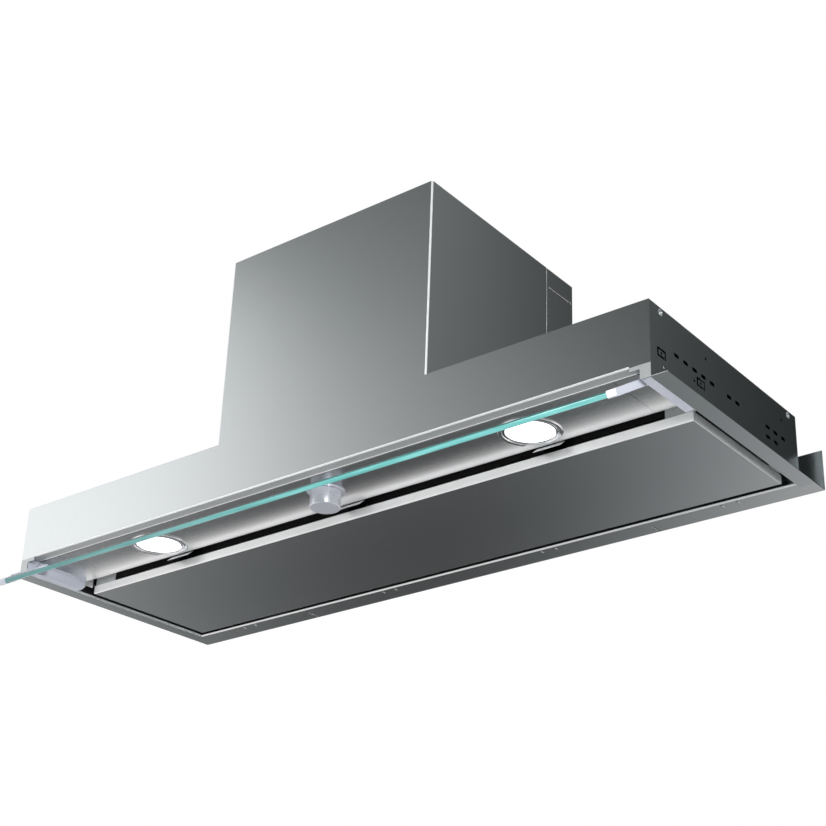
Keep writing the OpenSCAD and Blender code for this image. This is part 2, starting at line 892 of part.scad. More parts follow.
module tower_screws() {
    color("silver") {
        at_tower_feet() screw(sheet);
        at_crown_screws() screw(2 * sheet);
    }
}

module outlet_collar() {
    top = tower_top + collar_h;
    bore = collar_r - collar_wall;
    color("#2c2e30") difference() {
        union() {
            translate([fan_x, collar_y, 0]) {
                ring(tower_top, tower_top + collar_flange_t, bore, collar_flange_r);
                rotate_extrude() polygon([
                    [bore, tower_top], [collar_r, tower_top], [collar_r, top - collar_chamfer],
                    [collar_r - collar_chamfer, top], [bore, top]
                ]);
                ring(valve_z - flap_t / 2 - fit - valve_seat_t, valve_z - flap_t / 2 - fit,
                     bore - valve_seat_w, collar_r - collar_wall / 2);
            }
        }
        bar_y(fan_x, collar_y - collar_r - over, collar_y + collar_r + over, valve_z,
              valve_rod_r + seat_fit);
        at_collar_screws() screw_hole();
    }
}

module valve_rod() {
    color("silver") bar_y(fan_x, collar_y - collar_r, collar_y + collar_r, valve_z, valve_rod_r);
}

// Half-round flap on the +X side of the rod; row picks which knuckles it carries
module valve_flap(row) {
    difference() {
        union() {
            intersection() {
                bar_z(0, 0, -flap_t / 2, flap_t / 2, flap_r);
                block([flap_start, flap_r + over], [-flap_r - over, flap_r + over], [-flap_t, flap_t]);
            }
            for (share = knuckle_shares[row]) {
                y = share * flap_r;
                bar_y(0, y, y + knuckle_l, 0, knuckle_r);
                block([0, flap_start + over], [y, y + knuckle_l], [-flap_t / 2, flap_t / 2]);
            }
        }
        bar_y(0, -flap_r - over, flap_r + over, 0, valve_rod_r + run_fit);
    }
}
module valve_flap_right() {
    color("#3a3c3e") translate([fan_x, collar_y, valve_z]) valve_flap(0);
}
module valve_flap_left() {
    color("#3a3c3e") translate([fan_x, collar_y, valve_z]) mirror([1, 0, 0]) valve_flap(1);
}

// Spiral wall grows evenly from the tongue round to the outlet; inset moves it inwards
function spiral(inset) = [
    for (i = [0 : scroll_steps])
        let (turn = tongue_angle + (360 - tongue_angle) * i / scroll_steps,
             r = scroll_r0 + (scroll_r1 - scroll_r0) * i / scroll_steps - inset)
        [fan_y + r * cos(turn), fan_z + r * sin(turn)]
];
module scroll_outline(inset, top) {
    polygon(concat(spiral(inset), [
        [scroll_y1 - inset, top], [box_y0 + inset, top], [box_y0 + inset, box_z0 + inset],
        [throat_y + inset, box_z0 + inset],
        [throat_y + inset, fan_z + scroll_r0 * sin(tongue_angle) - inset]
    ]));
}

// Half of the scroll housing on the +X side of the fan's middle
module scroll_half() {
    half = scroll_w / 2;
    difference() {
        union() {
            across(0, half) scroll_outline(0, box_top);
            block([0, half + flange_lip], [box_y0 - flange_lip, scroll_y1 + flange_lip],
                  [box_top - flange_lip_t, box_top]);
        }
        across(-over, half - scroll_wall) scroll_outline(scroll_wall, box_top + over);
        bar_x(half - scroll_wall - over, half + over, fan_y, fan_z, inlet_r);
    }
    translate([half - scroll_wall - inlet_lip_h, fan_y, fan_z]) rotate([0, 90, 0])
        ring(0, inlet_lip_h + scroll_wall, inlet_r, inlet_r + scroll_wall);
}
module scroll_half_right() {
    color("#c7cacb") difference() {
        translate([fan_x, 0, 0]) scroll_half();
        at_blower_screws() screw_hole();
        at_spider_screws() screw_hole();
    }
}
module scroll_half_left() {
    color("#c7cacb") difference() {
        translate([fan_x, 0, 0]) mirror([1, 0, 0]) scroll_half();
        at_blower_screws() screw_hole();
    }
}

module outlet_gasket() {
    color("#202224") difference() {
        block([scroll_x0, scroll_x1], [box_y0, scroll_y1], [box_top, box_top + gasket_t]);
        block([scroll_x0 + 2 * scroll_wall, scroll_x1 - 2 * scroll_wall],
              [box_y0 + 2 * scroll_wall, scroll_y1 - 2 * scroll_wall],
              [box_top - over, box_top + gasket_t + over]);
    }
}

// Outline of one forward-curved blade: two bowed lines a blade's thickness apart
function blade_line(shift) = [
    for (i = [0 : blade_points])
        let (share = i / blade_points,
             r = blade_r0 + (fan_r - blade_r0) * share,
             turn = blade_lean * share * share)
        [r * cos(turn) - shift * sin(turn), r * sin(turn) + shift * cos(turn)]
];
function reversed(list) = [for (i = [len(list) - 1 : -1 : 0]) list[i]];

module impeller() {
    color("#3b4a5a") translate([fan_x, fan_y, fan_z]) rotate([90, 0, 90]) difference() {
        union() {
            translate([0, 0, -fan_w / 2]) linear_extrude(fan_w) for (i = [0 : blade_count - 1])
                rotate(i * 360 / blade_count)
                    polygon(concat(blade_line(0), reversed(blade_line(blade_t))));
            for (z = [-fan_w / 2, fan_w / 2 - ring_w])
                ring(z, z + ring_w, fan_r - 2 * ring_t, fan_r + ring_t / 2);
            translate([0, 0, -disc_t / 2]) cylinder(h = disc_t, r = blade_r0 + ring_t);
            translate([0, 0, -hub_w / 2]) cylinder(h = hub_w, r = hub_r);
        }
        translate([0, 0, -hub_w]) cylinder(h = 2 * hub_w, r = shaft_r + seat_fit);
    }
}

module motor_shaft() {
    color("silver") bar_x(fan_x - hub_w / 2 - ring_w, motor_x1 + spider_t + ring_w, fan_y, fan_z, shaft_r);
}

module fan_motor() {
    color("#5b5f62") difference() {
        bar_x(motor_x0, motor_x1, fan_y, fan_z, motor_r);
        bar_x(motor_x0 - over, motor_x1 + over, fan_y, fan_z, shaft_r + run_fit);
        for (i = [0 : motor_vents - 1])
            translate([motor_x0, fan_y, fan_z]) rotate([i * 360 / motor_vents, 0, 0])
                block([-over, motor_vent_depth], [motor_vent_r0, motor_vent_r1],
                      [-motor_vent_w / 2, motor_vent_w / 2]);
    }
}

module motor_bracket() {
    color("#a9adaf") difference() {
        translate([scroll_x1, fan_y, fan_z]) union() {
            rotate([0, 90, 0]) cylinder(h = spider_t, r = spider_hub_r);
            for (turn = [90 : 120 : 330])
                rotate([turn, 0, 0]) block([0, spider_t], [0, spider_r],
                                           [-spider_arm_w / 2, spider_arm_w / 2]);
        }
        bar_x(scroll_x1 - over, scroll_x1 + spider_t + over, fan_y, fan_z, 2 * shaft_r);
        at_spider_screws() screw_hole();
    }
}

module blower_screws() {
    color("silver") {
        at_blower_screws() screw(sheet + gasket_t);
        at_spider_screws() screw(spider_t + scroll_wall);
        at_collar_screws() screw(collar_flange_t);
    }
}

// Open box that stands on the light strip, with its lid on top
module control_box() {
    x = [control_x - control_l / 2, control_x + control_l / 2];
    y = [control_y - control_w / 2, control_y + control_w / 2];
    color("#26282a") difference() {
        block(x, y, [strip_top_z, strip_top_z + control_h]);
        block([x[0] + control_wall, x[1] - control_wall], [y[0] + control_wall, y[1] - control_wall],
              [strip_top_z + control_wall, strip_top_z + control_h + over]);
        bar_x(x[1] - control_wall - over, x[1] + over, control_y, strip_top_z + capacitor_r + sheet,
              capacitor_stud_r + seat_fit);
    }
}
module control_box_lid() {
    x = [control_x - control_l / 2, control_x + control_l / 2];
    y = [control_y - control_w / 2, control_y + control_w / 2];
    inner = control_wall + fit;
    z = strip_top_z + control_h;
    color("#303234") union() {
        block(x, y, [z, z + lid_t]);
        block([x[0] + inner, x[1] - inner], [y[0] + inner, y[1] - inner], [z - lid_t, z + lid_t / 2]);
    }
}
module capacitor() {
    x = control_x + control_l / 2;
    z = strip_top_z + capacitor_r + sheet;
    color("#d8dadb") union() {
        bar_x(x, x + capacitor_l, control_y, z, capacitor_r);
        bar_x(x - capacitor_stud_l, x + over, control_y, z, capacitor_stud_r);
    }
}
module lamp_driver() {
    x = [driver_x - driver_l / 2, driver_x + driver_l / 2];
    y = [driver_y - driver_w / 2, driver_y + driver_w / 2];
    color("#e4e5e5") difference() {
        union() {
            block(x, y, [strip_top_z, strip_top_z + driver_h]);
            block([x[0] - driver_ear, x[1] + driver_ear], y, [strip_top_z, strip_top_z + driver_ear_t]);
        }
        for (place = [x[0] - driver_ear / 2, x[1] + driver_ear / 2])
            bar_z(place, driver_y, strip_top_z - over, strip_top_z + driver_ear_t + over, driver_hole_r);
    }
}
module cable_gland() {
    color("#26282a") translate([gland_x, gland_y, 0]) difference() {
        union() {
            bar_z(0, 0, body_h - sheet - gland_tail_h, body_h + over, gland_neck_r);
            translate([0, 0, body_h]) cylinder(h = gland_head_h, r = gland_head_r, $fn = 6);
            translate([0, 0, body_h - sheet - gland_tail_h])
                cylinder(h = gland_tail_h, r = gland_head_r, $fn = 6);
        }
        bar_z(0, 0, body_h - sheet - gland_tail_h - over, body_h + gland_head_h + over, gland_bore_r);
    }
}

// Cross-section of the light strip: front fold, flat face, round bend and rear upstand
module strip_outline() {
    bend_y = strip_rear_y - strip_bend_r;
    bend_z = front_lift + strip_bend_r;
    translate([strip_y0, front_lift]) square([bend_y - strip_y0, sheet]);
    translate([strip_y0, front_lift]) square([sheet, strip_front_h]);
    translate([strip_rear_y - sheet, bend_z]) square([sheet, deck_z1 - bend_z]);
    bend(strip_rear_y, front_lift, -1, 1, strip_bend_r);
}
module light_strip() {
    color("#a4a8a9") difference() {
        across(-strip_seam_x, strip_seam_x) strip_outline();
        for (side = [-1, 1])
            bar_z(side * lamp_x, lamp_y, front_lift - over, strip_top_z + over, bezel_neck_r + fit);
        bar_z(0, knob_y, front_lift - over, strip_top_z + over, bush_r + seat_fit);
    }
}
module strip_ends() {
    color("#989c9d") pair() union() {
        across(strip_seam_x + strip_seam, strip_end_x1) strip_outline();
        block([strip_end_x1 - sheet, strip_end_x1], [strip_rear_y - cheek_w, strip_rear_y + cheek_reach],
              [front_lift - cheek_drop, deck_z0]);
    }
}

// Ring with a narrow inner rim, a groove and a broad outer rim, and the neck that the springs hold
module lamp_bezels() {
    z0 = front_lift - bezel_drop;
    z1 = z0 + bezel_step;
    r0 = lens_r + bezel_gap;
    r1 = r0 + bezel_rim_w;
    r2 = r1 + bezel_groove_w;
    color("#e6e8e9") for (side = [-1, 1]) translate([side * lamp_x, lamp_y, 0]) rotate_extrude()
        polygon([
            [lens_r + fit, front_lift], [r0, z1], [r1, z1], [r1, z1 + bezel_step],
            [r2, z1 + bezel_step], [r2 + bezel_lip, z0], [lamp_r - bezel_lip, z0],
            [lamp_r, z0 + bezel_lip], [lamp_r, front_lift], [bezel_neck_r, front_lift],
            [bezel_neck_r, front_lift + bezel_neck_h],
            [bezel_neck_r - bezel_lip, front_lift + bezel_neck_h],
            [bezel_neck_r - bezel_lip, front_lift + lens_t], [lens_r + fit, front_lift + lens_t]
        ]);
}
module lamp_lenses() {
    z0 = front_lift - lens_drop;
    color("#ffffff") for (side = [-1, 1]) translate([side * lamp_x, lamp_y, 0]) rotate_extrude()
        polygon([
            [0, z0 - lens_drop / 2], [lens_r / 2, z0 - lens_drop / 4], [lens_r, z0 + lens_drop / 2],
            [lens_r, z0 + lens_t], [0, z0 + lens_t]
        ]);
}
module lamp_modules() {
    z0 = front_lift + lens_t + fit;
    color("#b4b7b8") for (side = [-1, 1]) translate([side * lamp_x, lamp_y, z0]) difference() {
        cylinder(h = module_h, r = module_r - fit);
        for (i = [0 : fin_count - 1])
            rotate(i * 360 / fin_count)
                block([module_r - fin_depth, module_r + over], [-fin_w, fin_w],
                      [bezel_neck_h, module_h + over]);
    }
}

module speed_knob() {
    color("#c9cbd4") translate([0, knob_y, 0]) rotate_extrude() polygon([
        [0, knob_z0], [knob_r - knob_edge, knob_z0], [knob_r, knob_z0 + knob_edge],
        [knob_r, knob_top_z], [knob_shaft_r + seat_fit, knob_top_z],
        [knob_shaft_r + seat_fit, knob_top_z - knob_bore_h], [0, knob_top_z - knob_bore_h]
    ]);
}
module knob_shaft() {
    color("silver") bar_z(0, knob_y, knob_top_z - knob_bore_h, switch_z1 - over, knob_shaft_r);
}
module knob_collar() {
    color("#b6b8c2") translate([0, knob_y, 0])
        ring(front_lift - knob_collar_h, front_lift, bush_r + seat_fit, knob_collar_r);
}
module rotary_switch() {
    color("#2b2d2f") difference() {
        union() {
            block([-switch_w / 2, switch_w / 2], [knob_y - switch_w / 2, knob_y + switch_w / 2],
                  [strip_top_z, switch_z1]);
            bar_z(0, knob_y, front_lift - knob_collar_h, strip_top_z + over, bush_r);
        }
        bar_z(0, knob_y, front_lift - knob_collar_h - over, switch_z1 - over, knob_shaft_r + run_fit);
    }
}

// Shallow tray: skin, four folded edges and the hem that turns inwards
module suction_panel() {
    wall = panel_skin;
    color("#5d6162") difference() {
        intersection() {
            across(-panel_x1, panel_x1)
                round_foot(panel_y0, panel_y1, panel_z0, panel_z1, panel_bend_r);
            along(panel_y0, panel_y1)
                round_foot(-panel_x1, panel_x1, panel_z0, panel_z1, panel_bend_r);
        }
        block([-panel_x1 + wall, panel_x1 - wall], [panel_y0 + wall, panel_y1 - wall],
              [panel_z0 + wall, panel_z1 - wall]);
        block([-panel_x1 + panel_hem, panel_x1 - panel_hem],
              [panel_y0 + panel_hem, panel_y1 - panel_hem], [panel_z0 + wall, panel_z1 + over]);
    }
}

// Hat-shaped stiffeners on the inside of the skin
module panel_stiffeners() {
    z = panel_z0 + panel_skin;
    y = [panel_y0 + panel_hem + fit, panel_y1 - panel_hem - fit];
    half = stiffener_w / 2;
    crown = half - stiffener_foot;
    color("#8c9091") for (x = [-catch_x, 0, catch_x]) translate([x, 0, 0]) along(y[0], y[1]) polygon([
        [-half, z], [-crown + stiffener_t, z], [-crown + stiffener_t, z + stiffener_h - stiffener_t],
        [crown - stiffener_t, z + stiffener_h - stiffener_t], [crown - stiffener_t, z], [half, z],
        [half, z + stiffener_t], [crown, z + stiffener_t], [crown, z + stiffener_h],
        [-crown, z + stiffener_h], [-crown, z + stiffener_t], [-half, z + stiffener_t]
    ]);
}

module hinge_leaves() {
    color("#b4b7b8") for (side = [-1, 1]) translate([side * hinge_x, 0, 0]) difference() {
        union() {
            block([-leaf_w / 2, leaf_w / 2], [panel_y1, panel_y1 + leaf_t],
                  [panel_z0 + leaf_t, panel_z1 - leaf_t]);
            bar_x(-leaf_w / 2, leaf_w / 2, hinge_y, hinge_z, leaf_knuckle_r);
            block([-leaf_w / 2, leaf_w / 2], [panel_y1 + leaf_t / 2, hinge_y],
                  [hinge_z - leaf_neck_h / 2, hinge_z + leaf_neck_h / 2]);
        }
        bar_x(-leaf_w, leaf_w, hinge_y, hinge_z, hinge_pin_r + run_fit);
    }
}

// Ears on both sides of the knuckle, with a foot on the rear panel
module hinge_brackets() {
    ear_x0 = leaf_w / 2 + ear_gap;
    foot_y = body_d - 2 * sheet;
    color("#8c9091") for (side = [-1, 1]) translate([side * hinge_x, 0, 0]) difference() {
        union() {
            for (x = [-ear_x0 - ear_t, ear_x0]) {
                bar_x(x, x + ear_t, hinge_y, hinge_z, ear_r);
                across(x, x + ear_t) polygon([
                    [hinge_y - ear_r, hinge_z], [hinge_y + ear_r, hinge_z],
                    [hinge_y + ear_r, hinge_z + ear_reach], [foot_y, rail_upstand + fit],
                    [foot_y, ear_top_z], [hinge_y - ear_r, ear_top_z - ear_reach]
                ]);
            }
            block([-ear_x0 - ear_t, ear_x0 + ear_t], [foot_y, body_d - sheet],
                  [rail_upstand + fit, rail_upstand + foot_h]);
        }
        bar_x(-leaf_w, leaf_w, hinge_y, hinge_z, hinge_pin_r + seat_fit);
    }
}
module hinge_pins() {
    reach = leaf_w / 2 + ear_gap + ear_t + hinge_pin_tail;
    color("silver") for (side = [-1, 1])
        bar_x(side * hinge_x - reach, side * hinge_x + reach, hinge_y, hinge_z, hinge_pin_r);
}

// Spring leaf on the strip's upstand, with a finger lip in the suction gap
module panel_catches() {
    y0 = strip_rear_y;
    t = leaf_spring_t;
    color("#e2e4e5") for (x = [-catch_x, 0, catch_x]) across(x - catch_w / 2, x + catch_w / 2)
        polygon([
            [y0, catch_top_z], [y0 + t, catch_top_z], [y0 + t, catch_bend_z],
            [catch_tip_y + t / 2, catch_tip_z - t / 2], [catch_tip_y, catch_tip_z],
            [y0, catch_bend_z + t / 2]
        ]);
}
module panel_strikers() {
    y0 = panel_y0 + fit;
    top = panel_z1 + striker_h;
    color("#b4b7b8") for (x = [-catch_x, 0, catch_x]) translate([x - striker_w / 2, 0, 0]) union() {
        block([0, striker_w], [y0, y0 + striker_foot], [panel_z1, panel_z1 + striker_t]);
        block([0, striker_w], [y0, y0 + striker_t], [panel_z1, top]);
        block([0, striker_w], [y0 - striker_reach, y0 + striker_t], [top - striker_t, top]);
    }
}

// Deck that carries the filters, with a skirt round its opening and a rear ledge
module filter_deck() {
    skirt = [deck_skirt_z, deck_z1];
    open = [-deck_open_x, deck_open_x];
    color("#7f8384") difference() {
        union() {
            difference() {
                block([-web_x0, web_x0], [strip_rear_y, body_d - sheet], [deck_z0, deck_z1]);
                block(open, [deck_wall_y0 + sheet, deck_wall_y1 - sheet], [deck_z0 - over, deck_z1 + over]);
            }
            block(open, [deck_wall_y0, deck_wall_y0 + sheet], skirt);
            block(open, [deck_wall_y1 - sheet, deck_wall_y1], skirt);
            block(open, [deck_wall_y1 - sheet - deck_ledge, deck_wall_y1],
                  [deck_skirt_z, deck_skirt_z + sheet]);
            block([-deck_bar_w / 2, deck_bar_w / 2], [deck_wall_y0, deck_wall_y1], [deck_z0, deck_z1]);
            pair() block([web_x0 - sheet, web_x0], [rail_y1 + over, body_d - sheet],
                         [deck_z0, deck_z1 + deck_side_fold]);
        }
        pair() block([web_x0 - slot_notch_reach, web_x0 + over],
                     [rear_slot_y - 2 * rear_slot_pitch - slot_l / 2 - slot_notch_margin,
                      rear_slot_y - rear_slot_pitch + slot_l / 2 + slot_notch_margin],
                     [deck_z0 - over, deck_z1 + deck_side_fold + over]);
        for (side = [-1, 1])
            block([side * filter_x - latch_bolt_w / 2 - fit, side * filter_x + latch_bolt_w / 2 + fit],
                  [deck_wall_y0 - over, deck_wall_y0 + sheet + over],
                  [latch_z0 - fit, latch_z0 + latch_t + fit]);
    }
}

// Baffles under the deck: one at each front corner and one at each rear corner
module gap_end_plates() {
    z = [end_plate_z0, end_plate_top];
    color("#4b4f50") pair() {
        block([end_plate_x0, strip_end_x1], [end_plate_y0, end_plate_y0 + sheet], z);
        block([strip_end_x1 - sheet, strip_end_x1], [rear_plate_y0, rear_plate_y1], z);
    }
}

// Rim with an inward lip at the bottom, and the guides of the latch under its front rail
module filter_frame() {
    x = [-filter_w / 2, filter_w / 2];
    y = [filter_y0, filter_y1];
    guide_x = latch_w / 2 + fit;
    guide_z0 = latch_z0 - fit - guide_lip_t;
    difference() {
        block(x, y, [filter_z0, filter_z0 + filter_t]);
        block([x[0] + filter_rim, x[1] - filter_rim], [y[0] + filter_rim, y[1] - filter_rim],
              [filter_z0 - over, filter_z0 + filter_t + over]);
        block([x[0] + filter_lip, x[1] - filter_lip], [y[0] + filter_lip, y[1] - filter_lip],
              [filter_z0 + filter_lip, filter_z0 + filter_t - filter_lip]);
    }
    for (i = [1 : filter_bars])
        block([x[0] + i * filter_w / (filter_bars + 1) - filter_bar_w / 2,
               x[0] + i * filter_w / (filter_bars + 1) + filter_bar_w / 2],
              [y[0] + filter_lip, y[1] - filter_lip], [filter_z0, filter_z0 + filter_bar_t]);
    pair() {
        block([filter_foot_x - filter_foot_w / 2, filter_foot_x + filter_foot_w / 2],
              [y[1] - deck_ledge, y[1]], [filter_z0 - filter_space, filter_z0 + filter_bar_t]);
        block([guide_x, guide_x + guide_w], [y[0] + over, y[0] + filter_rim], [guide_z0, filter_z0 + over]);
        block([guide_x - guide_lip, guide_x + guide_w], [y[0] + over, y[0] + filter_rim],
              [guide_z0, guide_z0 + guide_lip_t]);
    }
}
module filter_frame_left() { color("#c3c6c7") translate([-filter_x, 0, 0]) filter_frame(); }
module filter_frame_right() { color("#c3c6c7") translate([filter_x, 0, 0]) filter_frame(); }

// Pack of mesh sheets, held by the groove of the frame
module filter_meshes() {
    inset = filter_lip + fit;
    x = [-filter_w / 2 + inset, filter_w / 2 - inset];
    y = [filter_y0 + inset, filter_y1 - inset];
    color("#aeb1b2") for (side = [-1, 1]) translate([side * filter_x, 0, 0])
        block(x, y, [filter_z0 + filter_lip, filter_z0 + filter_t - filter_lip]);
}

// Sliding bolt with a finger grip; it moves towards the rear to free the filter
module filter_latch() {
    y0 = filter_y0 + over;
    block([-latch_w / 2, latch_w / 2], [y0, y0 + latch_l], [latch_z0, latch_z0 + latch_t]);
    block([-latch_bolt_w / 2, latch_bolt_w / 2], [y0 - latch_bolt, y0 + over],
          [latch_z0, latch_z0 + latch_t]);
    block([-latch_grip_w / 2, latch_grip_w / 2], [y0 + latch_l - latch_grip_l, y0 + latch_l],
          [latch_z0 - latch_grip_h, latch_z0 + over]);
}
module filter_latch_left() { color("#2b2d2f") translate([-filter_x, 0, 0]) filter_latch(); }
module filter_latch_right() { color("#2b2d2f") translate([filter_x, 0, 0]) filter_latch(); }

// Frame of the tilting visor: zero at the pivot, +Y to the rear along the glass
module on_visor() {
    translate([0, pivot_y, pivot_z]) rotate([visor_tilt, 0, 0]) children();
}

module visor_glass() {
    z1 = glass_z0 + glass_t;
    y0 = -visor_reach;
    y1 = glass_d - visor_reach;
    e = glass_edge;
    color("#9fd9d6", 0.6) on_visor() union() {
        across(-bracket_x0, bracket_x0) polygon([
            [y0 + e, glass_z0], [y1 - e, glass_z0], [y1, glass_z0 + e], [y1, z1 - e],
            [y1 - e, z1], [y0 + e, z1], [y0, z1 - e], [y0, glass_z0 + e]
        ]);
        block([-bracket_x0 - glass_tongue, bracket_x0 + glass_tongue],
              [y0 + glass_setback, y1 - glass_setback], [glass_z0, z1]);
    }
}

module visor_bracket() {
    half = bracket_t / 2;
    e = bracket_edge;
    difference() {
        on_visor() difference() {
            union() {
                across(bracket_x0, bracket_x1) polygon([
                    [-visor_reach + e, -half], [bracket_tail - half, -half], [bracket_tail - half, half],
                    [-visor_reach + e, half], [-visor_reach, half - e], [-visor_reach, -half + e]
                ]);
                bar_x(bracket_x0, bracket_x1, bracket_tail - half, 0, half);
            }
            block([bracket_x0 - over, bracket_x0 + glass_tongue + glass_fit],
                  [-visor_reach + glass_setback - glass_fit,
                   glass_d - visor_reach - glass_setback + glass_fit],
                  [glass_z0 - glass_fit, glass_z0 + glass_t + glass_fit]);
            bar_x(bracket_x1 - pin_bore_l, bracket_x1 + over, 0, 0, visor_pin_r + seat_fit);
        }
    }
}
module visor_bracket_right() { color("#c0c4d2") visor_bracket(); }
module visor_bracket_left() { color("#c0c4d2") mirror([1, 0, 0]) visor_bracket(); }
module visor_pins() {
    color("silver") pair() union() {
        bar_x(bracket_x1 - pin_bore_l, carrier_x1 - pin_setback, pivot_y, pivot_z, visor_pin_r);
        bar_x(bracket_x1, carrier_x0 - fit, pivot_y, pivot_z, pin_washer_r);
    }
}

// Carrier block with a rounded nose and the T-shaped rib that hangs in the rail
module slide_carrier() {
    y1 = carrier_y0 + carrier_l;
    head_z0 = rail_z0 + rail_lip_t + rail_slide_fit;
    difference() {
        union() {
            along(carrier_y0 + carrier_nose, y1) flat(carrier_x0, carrier_x1, carrier_z0, carrier_z1);
            block([carrier_x0, carrier_x1], [carrier_y0, carrier_y0 + 2 * carrier_nose],
                  [carrier_z0 + carrier_nose, carrier_z1]);
            bar_x(carrier_x0, carrier_x1, carrier_y0 + carrier_nose, carrier_z0 + carrier_nose,
                  carrier_nose);
            block([rib_x - rail_rib_w / 2, rib_x + rail_rib_w / 2], [carrier_y0 + rib_start, y1],
                  [carrier_z1 - over, head_z0 + rail_head_h / 2]);
            block([rib_x - rail_head_w / 2, rib_x + rail_head_w / 2], [carrier_y0 + rib_start, y1],
                  [head_z0, head_z0 + rail_head_h]);
        }
        bar_x(carrier_x0 - over, carrier_x1 + over, pivot_y, pivot_z, visor_pin_r + run_fit);
        across(carrier_x0 - over, carrier_x1 + over) polygon([
            [y1 - carrier_heel - over, carrier_z0 - over], [y1 + over, carrier_z0 - over],
            [y1 + over, carrier_z0 + carrier_heel + over]
        ]);
    }
}
module slide_carrier_right() { color("#b9bccb") slide_carrier(); }
module slide_carrier_left() { color("#b9bccb") mirror([1, 0, 0]) slide_carrier(); }

module slide_rails() {
    lip_top = rail_z0 + rail_lip_t;
    s = rail_slide_fit;
    color("#aeb1bd") pair() along(rail_start_y, rail_y1) difference() {
        flat(carrier_x0, web_x0, rail_z0, rail_z0 + rail_h);
        flat(rib_x - rail_rib_w / 2 - s, rib_x + rail_rib_w / 2 + s, rail_z0 - over, lip_top + over);
        flat(rib_x - rail_head_w / 2 - s, rib_x + rail_head_w / 2 + s, lip_top,
                  lip_top + rail_head_h + 2 * s);
    }
}

front_panel();
side_panel_left();
side_panel_right();
top_plate();
rear_panel();
rear_rail();
rear_spacer();
casing_fasteners();
tower_front_shell();
tower_rear_shell();
tower_top_plate();
tower_screws();
outlet_collar();
valve_rod();
valve_flap_left();
valve_flap_right();
scroll_half_left();
scroll_half_right();
outlet_gasket();
impeller();
motor_shaft();
fan_motor();
motor_bracket();
blower_screws();
capacitor();
control_box();
control_box_lid();
lamp_driver();
cable_gland();
light_strip();
strip_ends();
lamp_bezels();
lamp_lenses();
lamp_modules();
speed_knob();
knob_shaft();
knob_collar();
rotary_switch();
suction_panel();
panel_stiffeners();
hinge_leaves();
panel_strikers();
hinge_brackets();
hinge_pins();
panel_catches();
filter_deck();
gap_end_plates();
filter_frame_left();
filter_frame_right();
filter_meshes();
filter_latch_left();
filter_latch_right();
visor_glass();
visor_bracket_left();
visor_bracket_right();
visor_pins();
slide_carrier_left();
slide_carrier_right();
slide_rails();
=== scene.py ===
# Pull-out cabinet hood: its finishes, its visor glass, the light and the camera.
import json
import math

import bmesh
import bpy
from mathutils import Matrix, Vector


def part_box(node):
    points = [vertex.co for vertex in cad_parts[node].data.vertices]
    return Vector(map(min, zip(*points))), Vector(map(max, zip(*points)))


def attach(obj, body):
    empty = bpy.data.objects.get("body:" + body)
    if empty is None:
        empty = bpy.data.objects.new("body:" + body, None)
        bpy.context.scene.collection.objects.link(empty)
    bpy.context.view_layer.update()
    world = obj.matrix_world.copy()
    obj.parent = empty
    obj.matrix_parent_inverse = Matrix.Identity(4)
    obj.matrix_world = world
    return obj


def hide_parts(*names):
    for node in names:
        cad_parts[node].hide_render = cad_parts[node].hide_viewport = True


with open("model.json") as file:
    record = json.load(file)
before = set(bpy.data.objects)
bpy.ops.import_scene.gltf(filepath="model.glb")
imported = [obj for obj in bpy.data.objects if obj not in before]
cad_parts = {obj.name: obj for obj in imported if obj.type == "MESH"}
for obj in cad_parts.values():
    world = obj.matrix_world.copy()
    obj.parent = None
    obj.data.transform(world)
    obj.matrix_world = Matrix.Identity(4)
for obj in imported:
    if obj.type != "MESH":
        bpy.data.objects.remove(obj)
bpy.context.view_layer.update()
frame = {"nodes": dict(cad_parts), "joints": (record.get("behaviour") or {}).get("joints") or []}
nodes = frame["nodes"]
joints = {joint["name"]: joint for joint in frame["joints"]}

MM = 0.001
# Axes by their place: across the hood, from its front to the wall, and up
X, Y, Z = 0, 1, 2

# Camera: in front of the hood's right end and below it, looking up and to the left
LENS_MM = 68.91
SENSOR_MM = 36.0
CAMERA_AT = (1.06348, -1.07803, -0.65868)
CAMERA_TURN_DEG = 34.70
CAMERA_RISE_DEG = 24.40
CAMERA_SHIFT = (-0.15995, 0.07126)


def in_scene(name, data):
    """A new object of the scene for the data of a camera, a light or a mesh."""
    made = bpy.data.objects.new(name, data)
    bpy.context.scene.collection.objects.link(made)
    return made


camera_data = bpy.data.cameras.new("photo_camera")
camera_data.lens = LENS_MM
camera_data.sensor_width = SENSOR_MM
camera_data.shift_x, camera_data.shift_y = CAMERA_SHIFT
camera = in_scene("photo_camera", camera_data)
camera.location = CAMERA_AT
camera.rotation_euler = (math.radians(90 + CAMERA_RISE_DEG), 0, math.radians(CAMERA_TURN_DEG))
bpy.context.scene.camera = camera


# Finishes: nearly all values of a noise pattern lie between these two
NOISE_LOW = 0.3
NOISE_HIGH = 0.7
# Share of the broad clouds in brushed steel's grey, beside the scratches
CLOUD_SHARE = 0.25
# Real scratches are about 0.05 mm wide; they are drawn 1 mm wide, the least that shows here
SCRATCH_WIDTH_MM = 1.0
SCRATCH_LENGTH_MM = 5
SCRATCH_DEPTH_MM = 0.02
# How far the roughness of a fine surface swings to each side
ROUGH_SWING = 0.05


def linear(hex_colour):
    """An sRGB hex colour as linear RGBA."""
    channels = [int(hex_colour[i:i + 2], 16) / 255 for i in (1, 3, 5)]
    return (*(c / 12.92 if c <= 0.04045 else ((c + 0.055) / 1.055) ** 2.4 for c in channels), 1)


